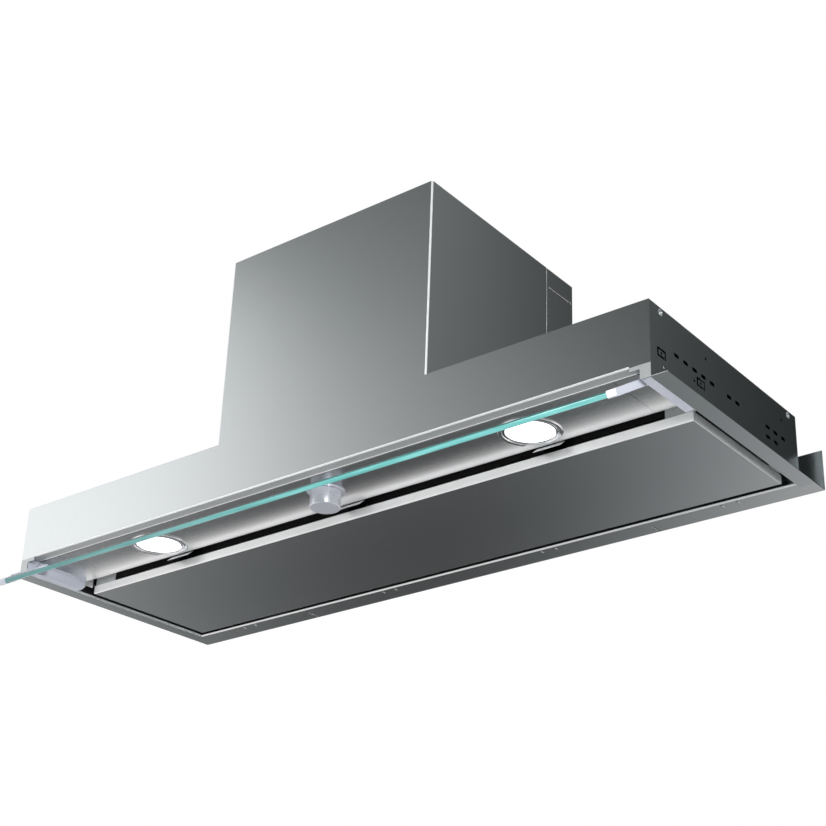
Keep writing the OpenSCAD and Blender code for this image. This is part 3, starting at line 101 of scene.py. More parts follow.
def add(tree, kind, settings=None, **inputs):
    """A new node with its properties set; each input is a value or a socket to link.

    An input goes by its name, or as i0, i1 and so on by its place in the node.
    """
    node = tree.nodes.new(kind)
    for name, value in (settings or {}).items():
        setattr(node, name, value)
    for name, value in inputs.items():
        by_place = name[0] == "i" and name[1:].isdigit()
        socket = node.inputs[int(name[1:]) if by_place else name.replace("_", " ")]
        if isinstance(value, bpy.types.NodeSocket):
            tree.links.new(value, socket)
        else:
            socket.default_value = value
    return node


def blank(name):
    """A material and its node tree, which is empty."""
    material = bpy.data.materials.new(name)
    material.use_nodes = True
    material.node_tree.nodes.clear()
    return material, material.node_tree


def surfaced(material, shader):
    """The material, with the shader joined to its output."""
    add(material.node_tree, "ShaderNodeOutputMaterial", Surface=shader.outputs[0])
    return material


def grain(tree, along, length_mm=SCRATCH_LENGTH_MM, width_mm=SCRATCH_WIDTH_MM):
    """Noise that is stretched along one axis of the hood, by itself as scratches."""
    scale = [1 / (width_mm * MM)] * 3
    scale[along] = 1 / (length_mm * MM)
    place = add(tree, "ShaderNodeTexCoord")
    stretch = add(tree, "ShaderNodeMapping", Vector=place.outputs["Object"], Scale=scale)
    return add(tree, "ShaderNodeTexNoise", Vector=stretch.outputs[0], Scale=1.0).outputs["Fac"]


def share_along(tree, axis, start_mm, end_mm, curve="LINEAR"):
    """How far a point is on its way from start to end along an axis of the hood, from 0 to 1."""
    place = add(tree, "ShaderNodeTexCoord")
    parts = add(tree, "ShaderNodeSeparateXYZ", Vector=place.outputs["Object"])
    share = add(tree, "ShaderNodeMapRange", {"interpolation_type": curve}, Value=parts.outputs[axis],
                From_Min=start_mm * MM, From_Max=end_mm * MM)
    return share.outputs[0]


def between(tree, level, low, high, start=NOISE_LOW, end=NOISE_HIGH):
    """A colour that runs from low to high while the level goes from start to end."""
    share = add(tree, "ShaderNodeMapRange", Value=level, From_Min=start, From_Max=end)
    mix = add(tree, "ShaderNodeMix", {"data_type": "RGBA"}, i0=share.outputs[0], i6=linear(low),
              i7=linear(high))
    return mix.outputs[2]


def brushed_stainless(name, dark, light, rough, along=X, bump=0.02, metallic=1.0):
    """Stainless steel AISI 304: short scratches along one axis spread a highlight that way."""
    material, tree = blank(name)
    scratches = grain(tree, along)
    clouds = grain(tree, along, length_mm=300, width_mm=120)
    tone = add(tree, "ShaderNodeMix", i0=CLOUD_SHARE, i2=scratches, i3=clouds)
    colour = between(tree, tone.outputs[0], dark, light)
    roughness = add(tree, "ShaderNodeMapRange", Value=scratches, From_Min=NOISE_LOW, From_Max=NOISE_HIGH,
                    To_Min=rough[0], To_Max=rough[1])
    relief = add(tree, "ShaderNodeBump", Strength=bump, Distance=SCRATCH_DEPTH_MM * MM, Height=scratches)
    shader = add(tree, "ShaderNodeBsdfPrincipled", Base_Color=colour, Metallic=metallic,
                 Roughness=roughness.outputs[0], Normal=relief.outputs[0])
    return surfaced(material, shader)


def rolled_strip_steel(name, satin_mm, bright_mm):
    """Stainless strip: satin grey in front, and painted nearly white towards its rear bend as a painted
    reflection.

    Its rolling lines are far finer than 0.1 mm. They are drawn 0.9 mm wide, so that they show.
    """
    material, tree = blank(name)
    share = share_along(tree, Y, satin_mm, bright_mm, "SMOOTHSTEP")
    lines = grain(tree, X, length_mm=6, width_mm=0.9)
    satin = between(tree, lines, "#8d9294", "#a0a5a7")
    colour = add(tree, "ShaderNodeMix", {"data_type": "RGBA"}, i0=share, i6=satin, i7=linear("#fcfdfd"))
    roughness = add(tree, "ShaderNodeMapRange", Value=share, To_Min=0.26, To_Max=0.30)
    shader = add(tree, "ShaderNodeBsdfPrincipled", Base_Color=colour.outputs[2], Metallic=1.0,
                 Roughness=roughness.outputs[0])
    return surfaced(material, shader)


def hemmed_lip_steel(name, pickled_mm, thread_mm):
    """Pickled stainless, a dull light grey, with a painted highlight: a white, matt thread along its closed
    hem.
    """
    material, tree = blank(name)
    share = share_along(tree, Y, pickled_mm, thread_mm)
    pickled = between(tree, grain(tree, X), "#a6aaab", "#b1b5b6")
    colour = add(tree, "ShaderNodeMix", {"data_type": "RGBA"}, i0=share, i6=pickled, i7=linear("#ffffff"))
    metal = add(tree, "ShaderNodeMapRange", Value=share, To_Min=0.5, To_Max=0.0)
    shader = add(tree, "ShaderNodeBsdfPrincipled", Base_Color=colour.outputs[2], Metallic=metal.outputs[0],
                 Roughness=0.45)
    return surfaced(material, shader)


def taped_steel(name, bare_mm, tape_mm):
    """A gap wall painted in two bands: a light grey foot as painted light, and black above it as painted
    shade.
    """
    material, tree = blank(name)
    share = share_along(tree, Z, bare_mm, tape_mm)
    pickled = between(tree, grain(tree, Y), "#c3c7c8", "#d2d6d7")
    colour = add(tree, "ShaderNodeMix", {"data_type": "RGBA"}, i0=share, i6=pickled, i7=linear("#0c0d0e"))
    shader = add(tree, "ShaderNodeBsdfPrincipled", Base_Color=colour.outputs[2], Metallic=0.1, Roughness=0.55)
    return surfaced(material, shader)


def galvanised_steel(name, dark, light, crystal_mm=9):
    """Hot-dip galvanised sheet: zinc spangle, whose crystals each reflect a little differently."""
    material, tree = blank(name)
    place = add(tree, "ShaderNodeTexCoord")
    cells = add(tree, "ShaderNodeTexVoronoi", Vector=place.outputs["Object"], Scale=1 / (crystal_mm * MM))
    split = add(tree, "ShaderNodeSeparateColor", Color=cells.outputs["Color"])
    colour = between(tree, split.outputs[0], dark, light, start=0.0, end=1.0)
    roughness = add(tree, "ShaderNodeMapRange", Value=split.outputs[1], To_Min=0.34, To_Max=0.52)
    shader = add(tree, "ShaderNodeBsdfPrincipled", Base_Color=colour, Metallic=1.0,
                 Roughness=roughness.outputs[0])
    return surfaced(material, shader)


def fine_surface(name, dark, light, rough, grit_mm, metallic=0.0, bump_mm=0.03):
    """A surface with an even fine texture, such as moulded plastic, blasted metal or enamel.

    Real grit is about 0.1 mm wide. It is drawn 0.5 mm wide or more, so that it shows.
    """
    material, tree = blank(name)
    place = add(tree, "ShaderNodeTexCoord")
    noise = add(tree, "ShaderNodeTexNoise", Vector=place.outputs["Object"], Scale=1 / (grit_mm * MM),
                Detail=3.0)
    grit = noise.outputs["Fac"]
    colour = between(tree, grit, dark, light)
    roughness = add(tree, "ShaderNodeMapRange", Value=grit, From_Min=NOISE_LOW, From_Max=NOISE_HIGH,
                    To_Min=rough - ROUGH_SWING, To_Max=rough + ROUGH_SWING)
    relief = add(tree, "ShaderNodeBump", Strength=0.3, Distance=bump_mm * MM, Height=grit)
    shader = add(tree, "ShaderNodeBsdfPrincipled", Base_Color=colour, Metallic=metallic,
                 Roughness=roughness.outputs[0], Normal=relief.outputs[0])
    return surfaced(material, shader)


def expanded_mesh(name, pitch_mm=5):
    """Expanded aluminium mesh of a grease filter: bright strands with dark diamonds between them."""
    material, tree = blank(name)
    place = add(tree, "ShaderNodeTexCoord")
    turned = add(tree, "ShaderNodeMapping", Vector=place.outputs["Object"], Rotation=(0, 0, math.radians(45)))
    cells = add(tree, "ShaderNodeTexVoronoi", {"feature": "DISTANCE_TO_EDGE"}, Vector=turned.outputs[0],
                Scale=1 / (pitch_mm * MM), Randomness=0.15)
    colour = between(tree, cells.outputs["Distance"], "#c9cccd", "#26292a", start=0.08, end=0.22)
    shader = add(tree, "ShaderNodeBsdfPrincipled", Base_Color=colour, Metallic=1.0, Roughness=0.4)
    return surfaced(material, shader)


def lit_lens(name, frost_mm=3):
    """Frosted polycarbonate in front of a lit LED lamp, an even white glow.

    Real frost is about 0.1 mm wide. It is drawn 3 mm wide, so that it shows.
    """
    material, tree = blank(name)
    place = add(tree, "ShaderNodeTexCoord")
    frost = add(tree, "ShaderNodeTexNoise", Vector=place.outputs["Object"], Scale=1 / (frost_mm * MM))
    colour = between(tree, frost.outputs["Fac"], "#f4f6f8", "#ffffff")
    shader = add(tree, "ShaderNodeBsdfPrincipled", Base_Color=colour, Roughness=0.35,
                 Emission_Color=colour, Emission_Strength=1.2)
    return surfaced(material, shader)


def float_glass(name, wave_mm=80):
    """Clear toughened float glass: sharp reflections, and a faint green in what shows through it."""
    material, tree = blank(name)
    place = add(tree, "ShaderNodeTexCoord")
    wave = add(tree, "ShaderNodeTexNoise", Vector=place.outputs["Object"], Scale=1 / (wave_mm * MM))
    colour = between(tree, wave.outputs["Fac"], "#dff2f0", "#e9f7f5")
    shader = add(tree, "ShaderNodeBsdfPrincipled", Base_Color=colour, Roughness=0.02, IOR=1.52,
                 Transmission_Weight=1.0)
    return surfaced(material, shader)


def ground_glass_edge(name, dark, light):
    """Edge of float glass with a painted glow: it emits a blue-green light of its own, standing in for the
    light that runs inside the pane and leaves it there.

    Real grinding marks are about 0.1 mm wide. They are drawn 2.5 mm wide, so that they show.
    """
    material, tree = blank(name)
    streaks = grain(tree, X, length_mm=60, width_mm=2.5)
    colour = between(tree, streaks, dark, light)
    shader = add(tree, "ShaderNodeBsdfPrincipled", Base_Color=colour, Roughness=0.2, IOR=1.52,
                 Emission_Color=colour, Emission_Strength=0.22)
    return surfaced(material, shader)


# Satin stainless: one soft even grey on each face, with short faint streaks
SATIN = brushed_stainless("AISI_304_satin", "#a6abac", "#acb1b2", (0.26, 0.27))
# Darker copies of the satin steel for the side panels and for the pieces underneath: painted shade
SATIN_ENDS = brushed_stainless("AISI_304_satin_ends_painted_shade", "#91989a", "#959c9e", (0.26, 0.27), along=Y)
SATIN_PANEL = brushed_stainless("AISI_304_satin_panel_painted_shade", "#989ea0", "#9da3a5", (0.25, 0.27), bump=0.01)
# Painted highlight: a nearly white, partly matt copy of the steel, with a wide soft highlight
POLISHED = brushed_stainless("AISI_304_fold_painted_highlight", "#f6f8f9", "#fdfefe", (0.34, 0.38), metallic=0.3)
# Lighter, partly matt copies of the steel on faces in the gaps and at the side panels' front corners: painted
# light
PICKLED = brushed_stainless("AISI_304_painted_light", "#a9adae", "#b5b9ba", (0.42, 0.50), metallic=0.5)
PICKLED_SIDE = brushed_stainless("AISI_304_painted_light_side", "#c3c7c8", "#d2d6d7", (0.5, 0.56), metallic=0.1)
# Near-white, partly matt copies of the steel on bends and edges: painted highlights, each a bright thread of
# light
BEND = brushed_stainless("AISI_304_bend_painted_highlight", "#f3f4f4", "#ffffff", (0.40, 0.46), metallic=0.6)
TOWER_BEND = brushed_stainless("AISI_304_tower_bend_painted_highlight", "#c8cccd", "#d4d8d9", (0.42, 0.48), along=Z,
                               metallic=0.6)
RAIL_BEND = brushed_stainless("AISI_304_rail_bend_painted_highlight", "#d6dada", "#e0e4e4", (0.36, 0.42), metallic=0.85)
SIDE_BEND = brushed_stainless("AISI_304_side_bend_painted_highlight", "#a4aaab", "#afb5b6", (0.42, 0.48), metallic=0.4)
# The walls of the slots in the side panels are drawn nearly black: painted shadow
LASER_EDGE = brushed_stainless("AISI_304_cut_wall_painted_shadow", "#17191a", "#222526", (0.5, 0.6))
# Each of these three changes between two places: the lip and the strip by depth, the gap wall by height. The
# lip's thread and the strip's rear are painted highlights, and the gap wall is painted light at its foot and
# painted shade above
LIP = hemmed_lip_steel("AISI_304_hemmed_lip_painted_highlight", pickled_mm=12.1, thread_mm=12.5)
TAPED = taped_steel("AISI_304_gap_wall_painted_light_and_shade", bare_mm=2.6, tape_mm=3.0)
# The strip runs from satin grey to white, front to rear: a painted reflection in its base colour
STRIP = rolled_strip_steel("AISI_304_strip_painted_reflection", satin_mm=44, bright_mm=86)
# Coated and plated steel: dull crystals on the inside sheets, soft gloss on fasteners, and springs near
# black, partly their own blued colour and partly painted shade
GALVANISED = galvanised_steel("DX51_galvanised_sheet", "#7d8284", "#9aa0a2")
ZINC = fine_surface("zinc_plated_steel", "#a9adb0", "#c4c8cb", 0.28, grit_mm=1.5, metallic=1.0)
SPRING = fine_surface("blued_spring_steel", "#131517", "#1d2022", 0.35, grit_mm=1.5, metallic=1.0)
# Chrome is a mirror: its waves are 6 mm wide and have no relief
CHROME = fine_surface("chrome_plated_brass", "#dfe1e4", "#f2f3f5", 0.08, grit_mm=6, metallic=1.0, bump_mm=0.0)
# Enamel on zinc castings: an even cool light grey with a soft gloss. The right bracket's nose is drawn white:
# a painted highlight
BRACKET = fine_surface("zinc_casting_light_grey_enamel", "#b5b9c5", "#c3c7d3", 0.42, grit_mm=0.9)
NOSE = fine_surface("zinc_casting_nose_painted_highlight", "#eceef2", "#f8f9fc", 0.30, grit_mm=0.9)
# Anodised and blasted aluminium: a pale silky grey, duller where it was blasted or cast
KNOB = fine_surface("anodised_aluminium_knob", "#c6c8d2", "#dadce4", 0.30, grit_mm=0.7, metallic=0.5)
KNOB_FACE = fine_surface("blasted_aluminium_knob_face", "#a6aab4", "#b4b8c1", 0.45, grit_mm=0.5, metallic=0.3)
DIECAST = fine_surface("die_cast_aluminium", "#8f9496", "#a9aeb0", 0.45, grit_mm=1.2, metallic=1.0)
# Black enamel and moulded black plastic: deep, even and dull. The filter deck is drawn black as painted
# shade, so that what is inside stays dark
DECK = fine_surface("deck_black_painted_shade", "#0b0c0d", "#131415", 0.55, grit_mm=1.2)
MOTOR = fine_surface("black_enamelled_motor", "#2a2c2e", "#36393b", 0.5, grit_mm=1.0)
BLACK_ABS = fine_surface("moulded_black_ABS", "#161718", "#202224", 0.5, grit_mm=0.8)
# Moulded white plastic is a soft white, and foam rubber black without any gloss
WHITE_PC = fine_surface("moulded_white_polycarbonate", "#dfe0df", "#ecedec", 0.4, grit_mm=0.8)
RUBBER = fine_surface("EPDM_foam_gasket", "#101112", "#1c1d1e", 0.85, grit_mm=1.2, bump_mm=0.2)
MESH = expanded_mesh("expanded_aluminium_mesh")
LENS = lit_lens("frosted_lens_lit")
GLASS = float_glass("toughened_float_glass")
# Painted glow: the pane's edge emits blue-green light, and its upper arris is darker, a painted shadow line
GLASS_EDGE = ground_glass_edge("glass_edge_painted_glow", "#4f9391", "#6fafad")
GLASS_ARRIS = ground_glass_edge("glass_arris_painted_shade", "#1f5f5f", "#2f7876")

# The pieces that carry each finish
FINISHES = (
    (SATIN, "front_panel top_plate rear_panel tower_front_shell tower_rear_shell tower_top_plate"),
    # Darker copies of the steel, as painted shade, on the side panels and the pieces underneath
    (SATIN_ENDS, "side_panel_left side_panel_right"),
    (SATIN_PANEL, "rear_rail rear_spacer suction_panel"),
    # The gap's end plates: painted light
    (PICKLED_SIDE, "gap_end_plates"),
    (STRIP, "light_strip strip_ends"),
    (GALVANISED, "scroll_half_left scroll_half_right panel_stiffeners hinge_leaves hinge_brackets"),
    (ZINC, "casing_fasteners tower_screws blower_screws hinge_pins visor_pins"),
    (ZINC, "valve_rod motor_shaft knob_shaft"),
    # The strikers and catches near black: partly blued steel, partly painted shade
    (SPRING, "panel_strikers panel_catches"),
    (CHROME, "lamp_bezels"),
    (BRACKET, "visor_bracket_left visor_bracket_right slide_carrier_left slide_carrier_right slide_rails"),
    (KNOB, "speed_knob knob_collar"),
    (DIECAST, "motor_bracket capacitor lamp_modules filter_frame_left filter_frame_right"),
    # The filter deck's black: painted shade
    (DECK, "filter_deck"),
    (MOTOR, "fan_motor"),
    (BLACK_ABS, "outlet_collar valve_flap_left valve_flap_right impeller control_box control_box_lid"),
    (BLACK_ABS, "cable_gland rotary_switch filter_latch_left filter_latch_right"),
    (WHITE_PC, "lamp_driver"),
    (RUBBER, "outlet_gasket"),
    (MESH, "filter_meshes"),
    (LENS, "lamp_lenses"),
    (GLASS, "visor_glass"),
)
for material, names in FINISHES:
    for name in names.split():
        slots = nodes[name].data.materials
        slots.clear()
        slots.append(material)


# How much of a face's normal lies along an axis, from a flat sheet down to the first facet of a bend
FLAT = 0.95
SQUARE = 0.9
SLOPING = 0.5
NOSE_LEAN = 0.3
LEANING = 0.15
# Places in millimetres: X from the middle, Y from the front and Z from the cabinet flange's underside
BEHIND_FRONT_MM = 1
FRONT_FOLD_TOP_MM = 18
INNER_CUTS_MM = 400
PANEL_FOLD_MM = 101
PANEL_END_MM = 415
END_CORNER_MM = 15
END_INSIDE_MM = 431.2
END_CUTS_X_MM = (430.9, 431.5)
END_CUTS_Z_MM = (12, 78)
NOSE_MM = -30


def finish_faces(name, material, chosen):
    """Gives another finish to the faces of a node that chosen(normal, middle in mm) picks."""
    mesh = nodes[name].data
    mesh.materials.append(material)
    index = len(mesh.materials) - 1
    for face in mesh.polygons:
        if chosen(face.normal, face.center / MM):
            face.material_index = index


def bent(n):
    """Whether a face belongs to a bend that looks down and forwards."""
    return n.y < -LEANING and n.z < -LEANING


def in_a_cut(n, at):
    """Whether a face is a wall of a slot or a hole in a side panel."""
    through = abs(n.x) < SLOPING and END_CUTS_X_MM[0] < abs(at.x) < END_CUTS_X_MM[1]
    return through and END_CUTS_Z_MM[0] < at.z < END_CUTS_Z_MM[1]


# The front lip's underside, with a painted highlight thread along its rear hem
finish_faces("front_panel", LIP, lambda n, at: n.z < -FLAT and at.y > BEHIND_FRONT_MM)
# The front panel's fold, the rear rail's bend and the tower's front edges: painted highlights
finish_faces("front_panel", BEND,
             lambda n, at: abs(n.y) > LEANING and n.z < -LEANING and at.z < FRONT_FOLD_TOP_MM)
finish_faces("rear_rail", RAIL_BEND, lambda n, at: bent(n))
finish_faces("tower_front_shell", TOWER_BEND, lambda n, at: abs(n.x) > LEANING and n.y < -LEANING)
# The suction panel's front fold: painted highlight
finish_faces("suction_panel", POLISHED, lambda n, at: n.y < -SQUARE and at.y < PANEL_FOLD_MM)
# The suction panel's end faces in the side gaps: painted light
finish_faces("suction_panel", PICKLED_SIDE, lambda n, at: abs(n.x) > SQUARE and abs(at.x) > PANEL_END_MM)
# The suction panel's bends: painted highlights, brighter at the front than at the sides
finish_faces("suction_panel", BEND, lambda n, at: bent(n))
finish_faces("suction_panel", SIDE_BEND, lambda n, at: n.z < -LEANING and abs(n.x) > LEANING)
# Sideways faces of the spacer and the strip ends: painted highlight
for name in ("rear_spacer", "strip_ends"):
    finish_faces(name, BEND, lambda n, at: abs(n.x) > SQUARE and abs(at.x) < INNER_CUTS_MM)
# The catches' lips: painted highlight
finish_faces("panel_catches", POLISHED, lambda n, at: n.y < -SLOPING and n.z > SLOPING)
finish_faces("speed_knob", KNOB_FACE, lambda n, at: n.z < -SQUARE)
for side, panel in ((-1, "side_panel_left"), (1, "side_panel_right")):
    # The side panels' front corner faces: painted light
    finish_faces(panel, PICKLED, lambda n, at: n.y < -SQUARE and at.z < END_CORNER_MM)
    # The side panels' inner walls: painted light at the foot, painted shade above
    finish_faces(panel, TAPED, lambda n, at: n.x * side < -SQUARE and abs(at.x) < END_INSIDE_MM)
    # Slot walls: painted shadow
    finish_faces(panel, LASER_EDGE, in_a_cut)
# The right bracket's nose only: painted highlight
finish_faces("visor_bracket_right", NOSE, lambda n, at: n.y < -NOSE_LEAN and at.y < NOSE_MM)


# Sheet metal and moulded pieces have a broken edge, which catches a thread of light. An edge is
# sharp where its faces meet at more than this angle, and faces are joined within this distance.
SHARP_DEG = 40
WELD_MM = 0.001


def break_edges(name, width_mm, dressed=None):
    """Rounds the sharp edges of a node a little; where asked, the rounded faces take a painted highlight
    finish.
    """
    weld = nodes[name].modifiers.new("joined_faces", "WELD")
    weld.merge_threshold = WELD_MM * MM
    bevel = nodes[name].modifiers.new("broken_edge", "BEVEL")
    bevel.width = width_mm * MM
    bevel.segments = 2
    bevel.limit_method = "ANGLE"
    bevel.angle_limit = math.radians(SHARP_DEG)
    bevel.harden_normals = True
    if dressed:
        nodes[name].data.materials.append(dressed)
        bevel.material = len(nodes[name].data.materials) - 1


break_edges("top_plate", 0.2)
# The tower's rear shell: its rounded edges are a painted highlight
break_edges("tower_rear_shell", 0.2, dressed=BEND)
break_edges("speed_knob", 0.3)
break_edges("knob_collar", 0.3)
for side in ("left", "right"):
    break_edges("visor_bracket_" + side, 0.5)
    break_edges("slide_carrier_" + side, 0.4)


# Visor glass: a pane with rounded, polished edges, and tongues that sit in the end brackets
GLASS_REACH_MM = 60.6
GLASS_DEPTH_MM = 48
GLASS_LOW_MM = -2.65
GLASS_THICK_MM = 5
GLASS_ROUND_MM = 0.9
TONGUE_SETBACK_MM = 3
ARRIS_LEAN = 0.3
pane_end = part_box("visor_bracket_right")[0].x
tongue_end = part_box("visor_glass")[1].x
tilt = joints["visor_tilt"]
pivot = Vector(tilt["pos_m"])
tilt_angle = math.radians(tilt["range_deg"][1])


def made_of(name, mesh, *materials):
    """A bmesh as an object of the scene, with its materials."""
    data = bpy.data.meshes.new(name)
    mesh.to_mesh(data)
    mesh.free()
    for material in materials:
        data.materials.append(material)
    return in_scene(name, data)


def rounded_section(y0, y1, z0, z1, radius, steps=4):
    """Corner points of a rectangle with rounded corners, anticlockwise from its +Y end."""
    points = []
    corners = [(y1 - radius, z1 - radius, 0), (y0 + radius, z1 - radius, 90),
               (y0 + radius, z0 + radius, 180), (y1 - radius, z0 + radius, 270)]
    for y, z, start in corners:
        for step in range(steps + 1):
            turn = math.radians(start + 90 * step / steps)
            points.append((y + radius * math.cos(turn), z + radius * math.sin(turn)))
    return points


def visor_pane():
    """The pane as one closed mesh, level at first and then tilted as it hangs in its brackets."""
    y0, y1 = -GLASS_REACH_MM * MM, (GLASS_DEPTH_MM - GLASS_REACH_MM) * MM
    z0, z1 = GLASS_LOW_MM * MM, (GLASS_LOW_MM + GLASS_THICK_MM) * MM
    radius = GLASS_ROUND_MM * MM
    setback = TONGUE_SETBACK_MM * MM
    full = rounded_section(y0, y1, z0, z1, radius)
    tongue = rounded_section(y0 + setback, y1 - setback, z0, z1, radius)
    stations = [(-tongue_end, tongue), (-pane_end, tongue), (-pane_end, full),
                (pane_end, full), (pane_end, tongue), (tongue_end, tongue)]
    mesh = bmesh.new()
    rings = [[mesh.verts.new((x, y, z)) for y, z in section] for x, section in stations]
    count = len(full)
    for near, far in zip(rings, rings[1:]):
        for i in range(count):
            j = (i + 1) % count
            mesh.faces.new((near[i], near[j], far[j], far[i]))
    mesh.faces.new(rings[0])
    mesh.faces.new(list(reversed(rings[-1])))
    bmesh.ops.recalc_face_normals(mesh, faces=mesh.faces)
    clear, edge, arris = range(3)
    for face in mesh.faces:
        up = face.normal.z
        face.material_index = clear if abs(up) > SQUARE else arris if up > ARRIS_LEAN else edge
        face.smooth = True
    mesh.transform(Matrix.Translation(pivot) @ Matrix.Rotation(tilt_angle, 4, "X"))
    return made_of("visor_pane", mesh, GLASS, GLASS_EDGE, GLASS_ARRIS)


pane = visor_pane()
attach(pane, "visor_flap")
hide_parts("visor_glass")


# Stage, in metres: a pale floor, a white surround, soft lights, and grey screens for the reflections
FLOOR_Z = -1.70
FLOOR_HALF = 30.0
FLOOR_CLOUD = 2 / 3
# How much of the floor glows by itself where it is seen, and the surround's level for matt surfaces
FLOOR_GLOW = 0.8
MATT_LEVEL = 0.6
CLOTH_Z = -0.69
CLOTH_CORNER = (-5, -4)
CLOTH_STEP = 0.15
CLOTH_POINTS = 61
# The cloth is a little cool where it is dark and a little warm where it is bright
CLOTH_RED = 0.93
CLOTH_RED_GAIN = 0.13
DOME_R = 4.2
DOME_RISES_DEG = range(-8, 91, 7)
DOME_TURNS_DEG = range(0, 361, 5)
# Name, place, the point that the light faces, width, height and watts
SOFTBOXES = (
    ("left_softbox", (-2.6, -1.6, 1.15), (-0.2, 0, 0.05), 1.2, 1.6, 8),
    ("right_softbox", (2.3, -1.9, -0.05), (0.1, 0.05, 0.0), 1.2, 1.0, 75),
    ("front_softbox", (0.9, -2.4, 1.6), (0.1, 0.1, 0.1), 1.6, 1.0, 12),
)

# The dome's greys, 0 black and 1 white; a pair is where a change starts and where it ends, in
# degrees. Up is from the horizon, and left and right are from straight in front or straight behind.
DOME_WHITE_UP = (59, 84)
FRONT_GREY = 0.135
FRONT_GREY_GAIN = 1.07
FRONT_LIGHTER_LEFT = (17, 45)
FRONT_LIGHTER_RIGHT = (35, 70)
FRONT_DARKER = 0.8
FRONT_DARKER_UP = (10, 46)
REAR_GREY = 0.47
REAR_GREY_RIGHT = (36, 42)
REAR_WHITE_LEFT = (25, 60)

# The floor cloth's greys, with pairs in metres: a band along a slanted line, and two grey fields
BAND_AT = (-0.85, 1.2)
BAND_SLANT = 0.64
BAND_GREY = 0.023
BAND_GAIN_RIGHT = 0.80
BAND_GAIN_LEFT = 0.31
BAND_NEAR_Y = (0.77, 0.97)
BAND_FAR_Y = (2.1, 3.1)
NEAR_FIELD = 0.55
NEAR_FIELD_X = (-1.35, -0.55)
NEAR_FIELD_FORWARD = (0.65, 0.85)
RIGHT_FIELD = 0.5
RIGHT_FIELD_X = (-0.6, 0.1)
RIGHT_FIELD_Y = (0.3, 0.8)


def seen(tree):
    """1 for the rays of the camera, of reflections and through glass, and 0 for those that light."""
    rays = add(tree, "ShaderNodeLightPath").outputs
    first = add(tree, "ShaderNodeMath", {"operation": "MAXIMUM"}, i0=rays["Is Camera Ray"],
                i1=rays["Is Glossy Ray"])
    both = add(tree, "ShaderNodeMath", {"operation": "MAXIMUM"}, i0=first.outputs[0],
               i1=rays["Is Transmission Ray"])
    return both.outputs[0]


def stage_floor():
    """A plain pale floor, nearly white to the camera, that keeps the hood's soft shadow."""
    material, tree = blank("matt_white_floor")
    place = add(tree, "ShaderNodeTexCoord")
    clouds = add(tree, "ShaderNodeTexNoise", Vector=place.outputs["Object"], Scale=1 / FLOOR_CLOUD)
    colour = between(tree, clouds.outputs["Fac"], "#fafafa", "#ffffff")
    lit = add(tree, "ShaderNodeBsdfDiffuse", Color=colour)
    glow = add(tree, "ShaderNodeEmission", Color=colour, Strength=1.0)
    share = add(tree, "ShaderNodeMapRange", Value=seen(tree), To_Max=FLOOR_GLOW)
    both = add(tree, "ShaderNodeMixShader", i0=share.outputs[0], i1=lit.outputs[0], i2=glow.outputs[0])
    mesh = bmesh.new()
    corners = ((-1, -1), (1, -1), (1, 1), (-1, 1))
    mesh.faces.new([mesh.verts.new((x * FLOOR_HALF, y * FLOOR_HALF, FLOOR_Z)) for x, y in corners])
    made_of("floor", mesh, surfaced(material, both))


def ramp(value, start, end):
    """0 at start and 1 at end, with soft ends."""
    share = min(1.0, max(0.0, (value - start) / (end - start)))
    return share * share * (3 - 2 * share)


def screen_cloth():
    """Evenly lit cloth whose grey is dyed point by point."""
    material, tree = blank("graded_screen_cloth")
    dye = add(tree, "ShaderNodeVertexColor", {"layer_name": "grey"})
    return surfaced(material, add(tree, "ShaderNodeEmission", Color=dye.outputs["Color"], Strength=1.0))


def screen(name, rows, grey, cloth):
    """A grid of points as a screen that only reflections see."""
    mesh = bmesh.new()
    verts = [[mesh.verts.new(point) for point in row] for row in rows]
    for low, high in zip(verts, verts[1:]):
        for i in range(len(low) - 1):
            mesh.faces.new((low[i], low[i + 1], high[i + 1], high[i]))
    board = made_of(name, mesh, cloth)
    dye = board.data.color_attributes.new("grey", "FLOAT_COLOR", "POINT")
    for i, vertex in enumerate(board.data.vertices):
        level = grey(vertex.co)
        dye.data[i].color = (level * (CLOTH_RED + CLOTH_RED_GAIN * level), level, level, 1)
    board.visible_camera = False
    board.visible_diffuse = False
    board.visible_transmission = False
    board.visible_shadow = False


def dome_point(rise_deg, turn_deg):
    """A point of the dome by its height over the horizon and its turn round the hood."""
    rise = math.radians(rise_deg)
    turn = math.radians(turn_deg)
    return (DOME_R * math.cos(rise) * math.cos(turn), DOME_R * math.cos(rise) * math.sin(turn),
            DOME_R * math.sin(rise))


def dome_grey(at):
    """White overhead and at the sides, grey in front, and black behind with mid grey to the right."""
    left = math.degrees(math.atan2(-at.x, -at.y))
    rise = math.degrees(math.asin(max(-1.0, min(1.0, at.z / at.length))))
    behind = (left - 180) % 360
    behind = behind - 360 if behind > 180 else behind
    grey = 1.0
    if abs(left) < 90:
        front = FRONT_GREY + FRONT_GREY_GAIN * ramp(left, *FRONT_LIGHTER_LEFT)
        front = front * (1 - FRONT_DARKER * ramp(rise, *FRONT_DARKER_UP))
        grey = min(grey, max(front, ramp(-left, *FRONT_LIGHTER_RIGHT)))
    if abs(behind) < 90:
        grey = min(grey, max(REAR_GREY * ramp(behind, *REAR_GREY_RIGHT), ramp(-behind, *REAR_WHITE_LEFT)))
    return 1 - (1 - ramp(rise, *DOME_WHITE_UP)) * (1 - grey)


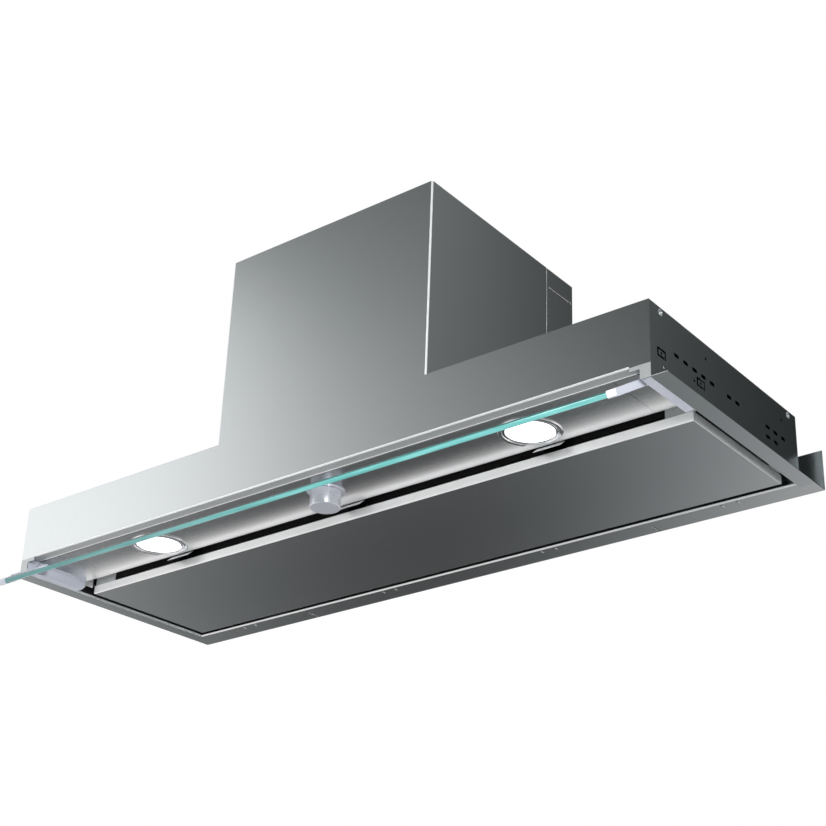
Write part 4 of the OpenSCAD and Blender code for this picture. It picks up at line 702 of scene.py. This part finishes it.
def cloth_grey(at):
    """White, with a dark band that slants away behind the hood and two grey fields nearer by."""
    away = at.x - BAND_AT[0] + BAND_SLANT * (at.y - BAND_AT[1])
    gain = BAND_GAIN_RIGHT if away > 0 else BAND_GAIN_LEFT
    band = min(1.0, BAND_GREY + gain * away * away)
    clear = max(1 - ramp(at.y, *BAND_NEAR_Y), ramp(at.y, *BAND_FAR_Y))
    band = band + (1 - band) * clear
    near = NEAR_FIELD * ramp(at.x, *NEAR_FIELD_X) * ramp(-at.y, *NEAR_FIELD_FORWARD)
    right = RIGHT_FIELD * ramp(at.x, *RIGHT_FIELD_X) * (1 - ramp(at.y, *RIGHT_FIELD_Y))
    return band * (1 - max(near, right))


def reflection_screens():
    """A dome and a floor cloth, which give the steel its greys."""
    cloth = screen_cloth()
    dome = [[dome_point(rise, turn) for turn in DOME_TURNS_DEG] for rise in DOME_RISES_DEG]
    screen("reflection_dome", dome, dome_grey, cloth)
    x, y = CLOTH_CORNER
    count = range(CLOTH_POINTS)
    rows = [[(x + i * CLOTH_STEP, y + j * CLOTH_STEP, CLOTH_Z) for i in count] for j in count]
    screen("reflection_cloth", rows, cloth_grey, cloth)


def softbox(name, at, aim, width, height, watts):
    """A rectangular area light that faces a point."""
    data = bpy.data.lights.new(name, "AREA")
    data.shape = "RECTANGLE"
    data.size, data.size_y = width, height
    data.energy = watts
    light = in_scene(name, data)
    light.location = at
    light.rotation_euler = (Vector(aim) - Vector(at)).to_track_quat("-Z", "Y").to_euler()


def surround():
    """White behind and in what shines; a softer level lights the matt surfaces."""
    world = bpy.data.worlds.new("white_surround")
    bpy.context.scene.world = world
    world.use_nodes = True
    tree = world.node_tree
    tree.nodes.clear()
    level = add(tree, "ShaderNodeMapRange", Value=seen(tree), To_Min=MATT_LEVEL, To_Max=1.0)
    sky = add(tree, "ShaderNodeBackground", Color=linear("#ffffff"), Strength=level.outputs[0])
    add(tree, "ShaderNodeOutputWorld", Surface=sky.outputs[0])


stage_floor()
reflection_screens()
surround()
for box in SOFTBOXES:
    softbox(*box)

bpy.context.scene.view_settings.view_transform = "Standard"
